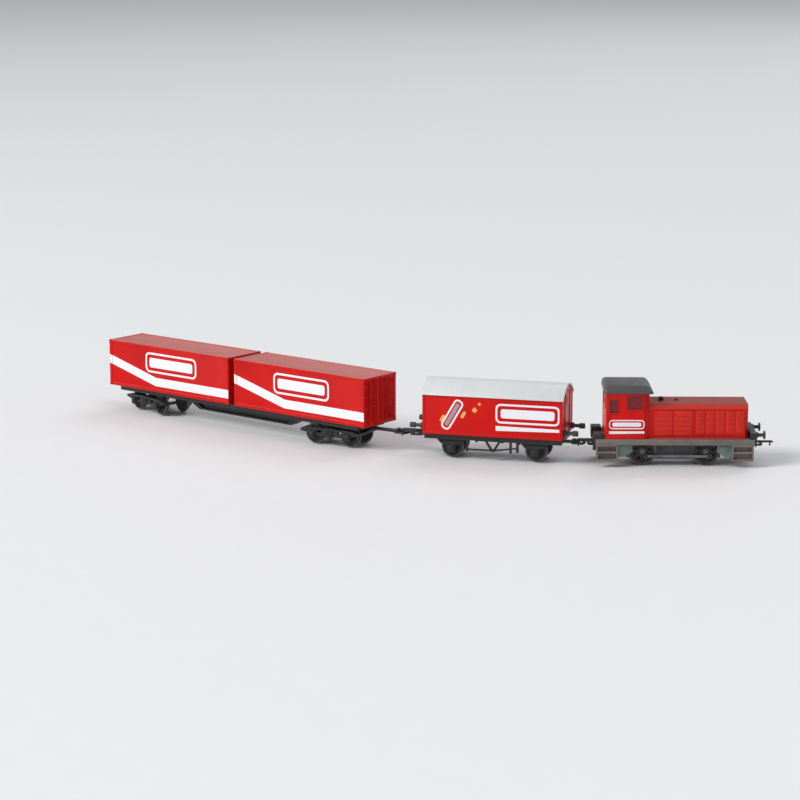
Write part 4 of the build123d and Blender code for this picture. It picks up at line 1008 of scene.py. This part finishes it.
# ---------------------------------------------------------------- bogies
class TRAIN_OT_bogies(bpy.types.Operator):
    """Fit axle-box lids and rivets to the bogies and the wagon's deck"""

    bl_idname = "train.bogies"
    bl_label = "Bogies and deck"

    def execute(self, context):
        rivet = sizes().rivet_radius
        lid = [(1.3, -0.1), (1.3, 0.25), (0.9, 0.45), (0.4, 0.5)]
        for name, place in BOGIES.items():
            shape = Shape()
            for side in (-1, 1):
                for x in (-12.5, 12.5):
                    shape.turning(lid, (x, side * 14.25, CARRYING_TREAD), (0, side, 0), 16)
                for x in (-17, -4, 4, 17):
                    shape.rivet((x, side * 13.25, 8.3), (0, side, 0), rivet)
            piece(name + "_lids", shape, name + "_body", place, "black_moulding")
        deck = Shape()
        for side in (-1, 1):
            for k in range(-12, 13):
                deck.rivet((k * 8.0, side * 13.0, 13.9), (0, side, 0), rivet)
        piece("deck_rivets", deck, "wagon", WAGON, "black_moulding")
        return {"FINISHED"}


# ---------------------------------------------------------------- studio
CAMERA_SPOT = (0.6114, -1.3156, 0.3245)            # metres, as below
FLOOR_REACH = 12.0
LIGHTS = {                    # where each light hangs, and how wide it is
    "key": ((-2.8, -3.5, 3.5), 2.4),
    "fill": ((1.2, -3.4, 1.8), 2.0),
    "back": ((0.8, 4.6, 4.4), 3.6),
}
SKY_COLOUR = (0.93, 0.95, 1.0, 1.0)


class TRAIN_OT_studio(bpy.types.Operator):
    """Lay the pale floor and set up the soft lights and the camera"""

    bl_idname = "train.studio"
    bl_label = "Studio"

    def execute(self, context):
        studio = context.scene.train_studio
        self.floor()
        self.sky(context, studio.sky)
        for name, (spot, size) in LIGHTS.items():
            self.light(name + "_light", spot, size, getattr(studio, name))
        self.camera(context, studio.lens)
        context.scene.view_settings.view_transform = "Standard"
        return {"FINISHED"}

    def floor(self):
        """A wide floor under the wheels."""
        mesh = bmesh.new()
        signs = ((-1, -1), (1, -1), (1, 1), (-1, 1))
        mesh.faces.new([mesh.verts.new((x * FLOOR_REACH, y * FLOOR_REACH, 0)) for x, y in signs])
        data = bpy.data.meshes.new("studio_floor")
        mesh.to_mesh(data)
        mesh.free()
        data.materials.append(material_of("studio_floor"))
        floor = bpy.data.objects.new("studio_floor", data)
        bpy.context.scene.collection.objects.link(floor)

    def sky(self, context, strength):
        world = bpy.data.worlds.new("studio_sky")
        world.use_nodes = True
        background = next(node for node in world.node_tree.nodes if node.type == "BACKGROUND")
        background.inputs["Color"].default_value = SKY_COLOUR
        background.inputs["Strength"].default_value = strength
        context.scene.world = world

    def light(self, name, spot, size, power):
        """Soft square light aimed at the train."""
        data = bpy.data.lights.new(name, "AREA")
        data.size = size
        data.energy = power
        lamp = bpy.data.objects.new(name, data)
        lamp.location = spot
        lamp.rotation_euler = (-Vector(spot)).to_track_quat("-Z", "Y").to_euler()
        bpy.context.scene.collection.objects.link(lamp)

    def camera(self, context, lens):
        data = bpy.data.cameras.new("studio_camera")
        data.lens = lens
        camera = bpy.data.objects.new("studio_camera", data)
        middle = (Vector(CAD_BOX[0]) + Vector(CAD_BOX[1])) / 2
        camera.location = CAMERA_SPOT
        camera.rotation_euler = (middle - Vector(CAMERA_SPOT)).to_track_quat("-Z", "Y").to_euler()
        bpy.context.scene.collection.objects.link(camera)
        context.scene.camera = camera


# ---------------------------------------------------------------- add-on
OPERATORS = (
    TRAIN_OT_cad_finishes,
    TRAIN_OT_containers,
    TRAIN_OT_container_prints,
    TRAIN_OT_van,
    TRAIN_OT_van_prints,
    TRAIN_OT_locomotive,
    TRAIN_OT_cab_prints,
    TRAIN_OT_bogies,
    TRAIN_OT_studio,
)
GROUPS = {"train_colours": TrainColours, "train_sizes": TrainSizes, "train_studio": TrainStudio}


class TRAIN_PT_panel(bpy.types.Panel):
    bl_idname = "TRAIN_PT_panel"
    bl_label = "Toy Train"
    bl_space_type = "VIEW_3D"
    bl_region_type = "UI"
    bl_category = "Toy Train"

    def draw(self, context):
        for group, kind in GROUPS.items():
            box = self.layout.box()
            for name in kind.__annotations__:
                box.prop(getattr(context.scene, group), name)
        for operator in OPERATORS:
            self.layout.operator(operator.bl_idname)


def register():
    for kind in (*GROUPS.values(), *OPERATORS, TRAIN_PT_panel):
        bpy.utils.register_class(kind)
    for name, kind in GROUPS.items():
        setattr(bpy.types.Scene, name, bpy.props.PointerProperty(type=kind))


def unregister():
    for name in GROUPS:
        delattr(bpy.types.Scene, name)
    for kind in (TRAIN_PT_panel, *OPERATORS, *GROUPS.values()):
        bpy.utils.unregister_class(kind)


def main():
    register()
    for operator in OPERATORS:
        group, name = operator.bl_idname.split(".")
        getattr(getattr(bpy.ops, group), name)()


if __name__ == "__main__":
    main()
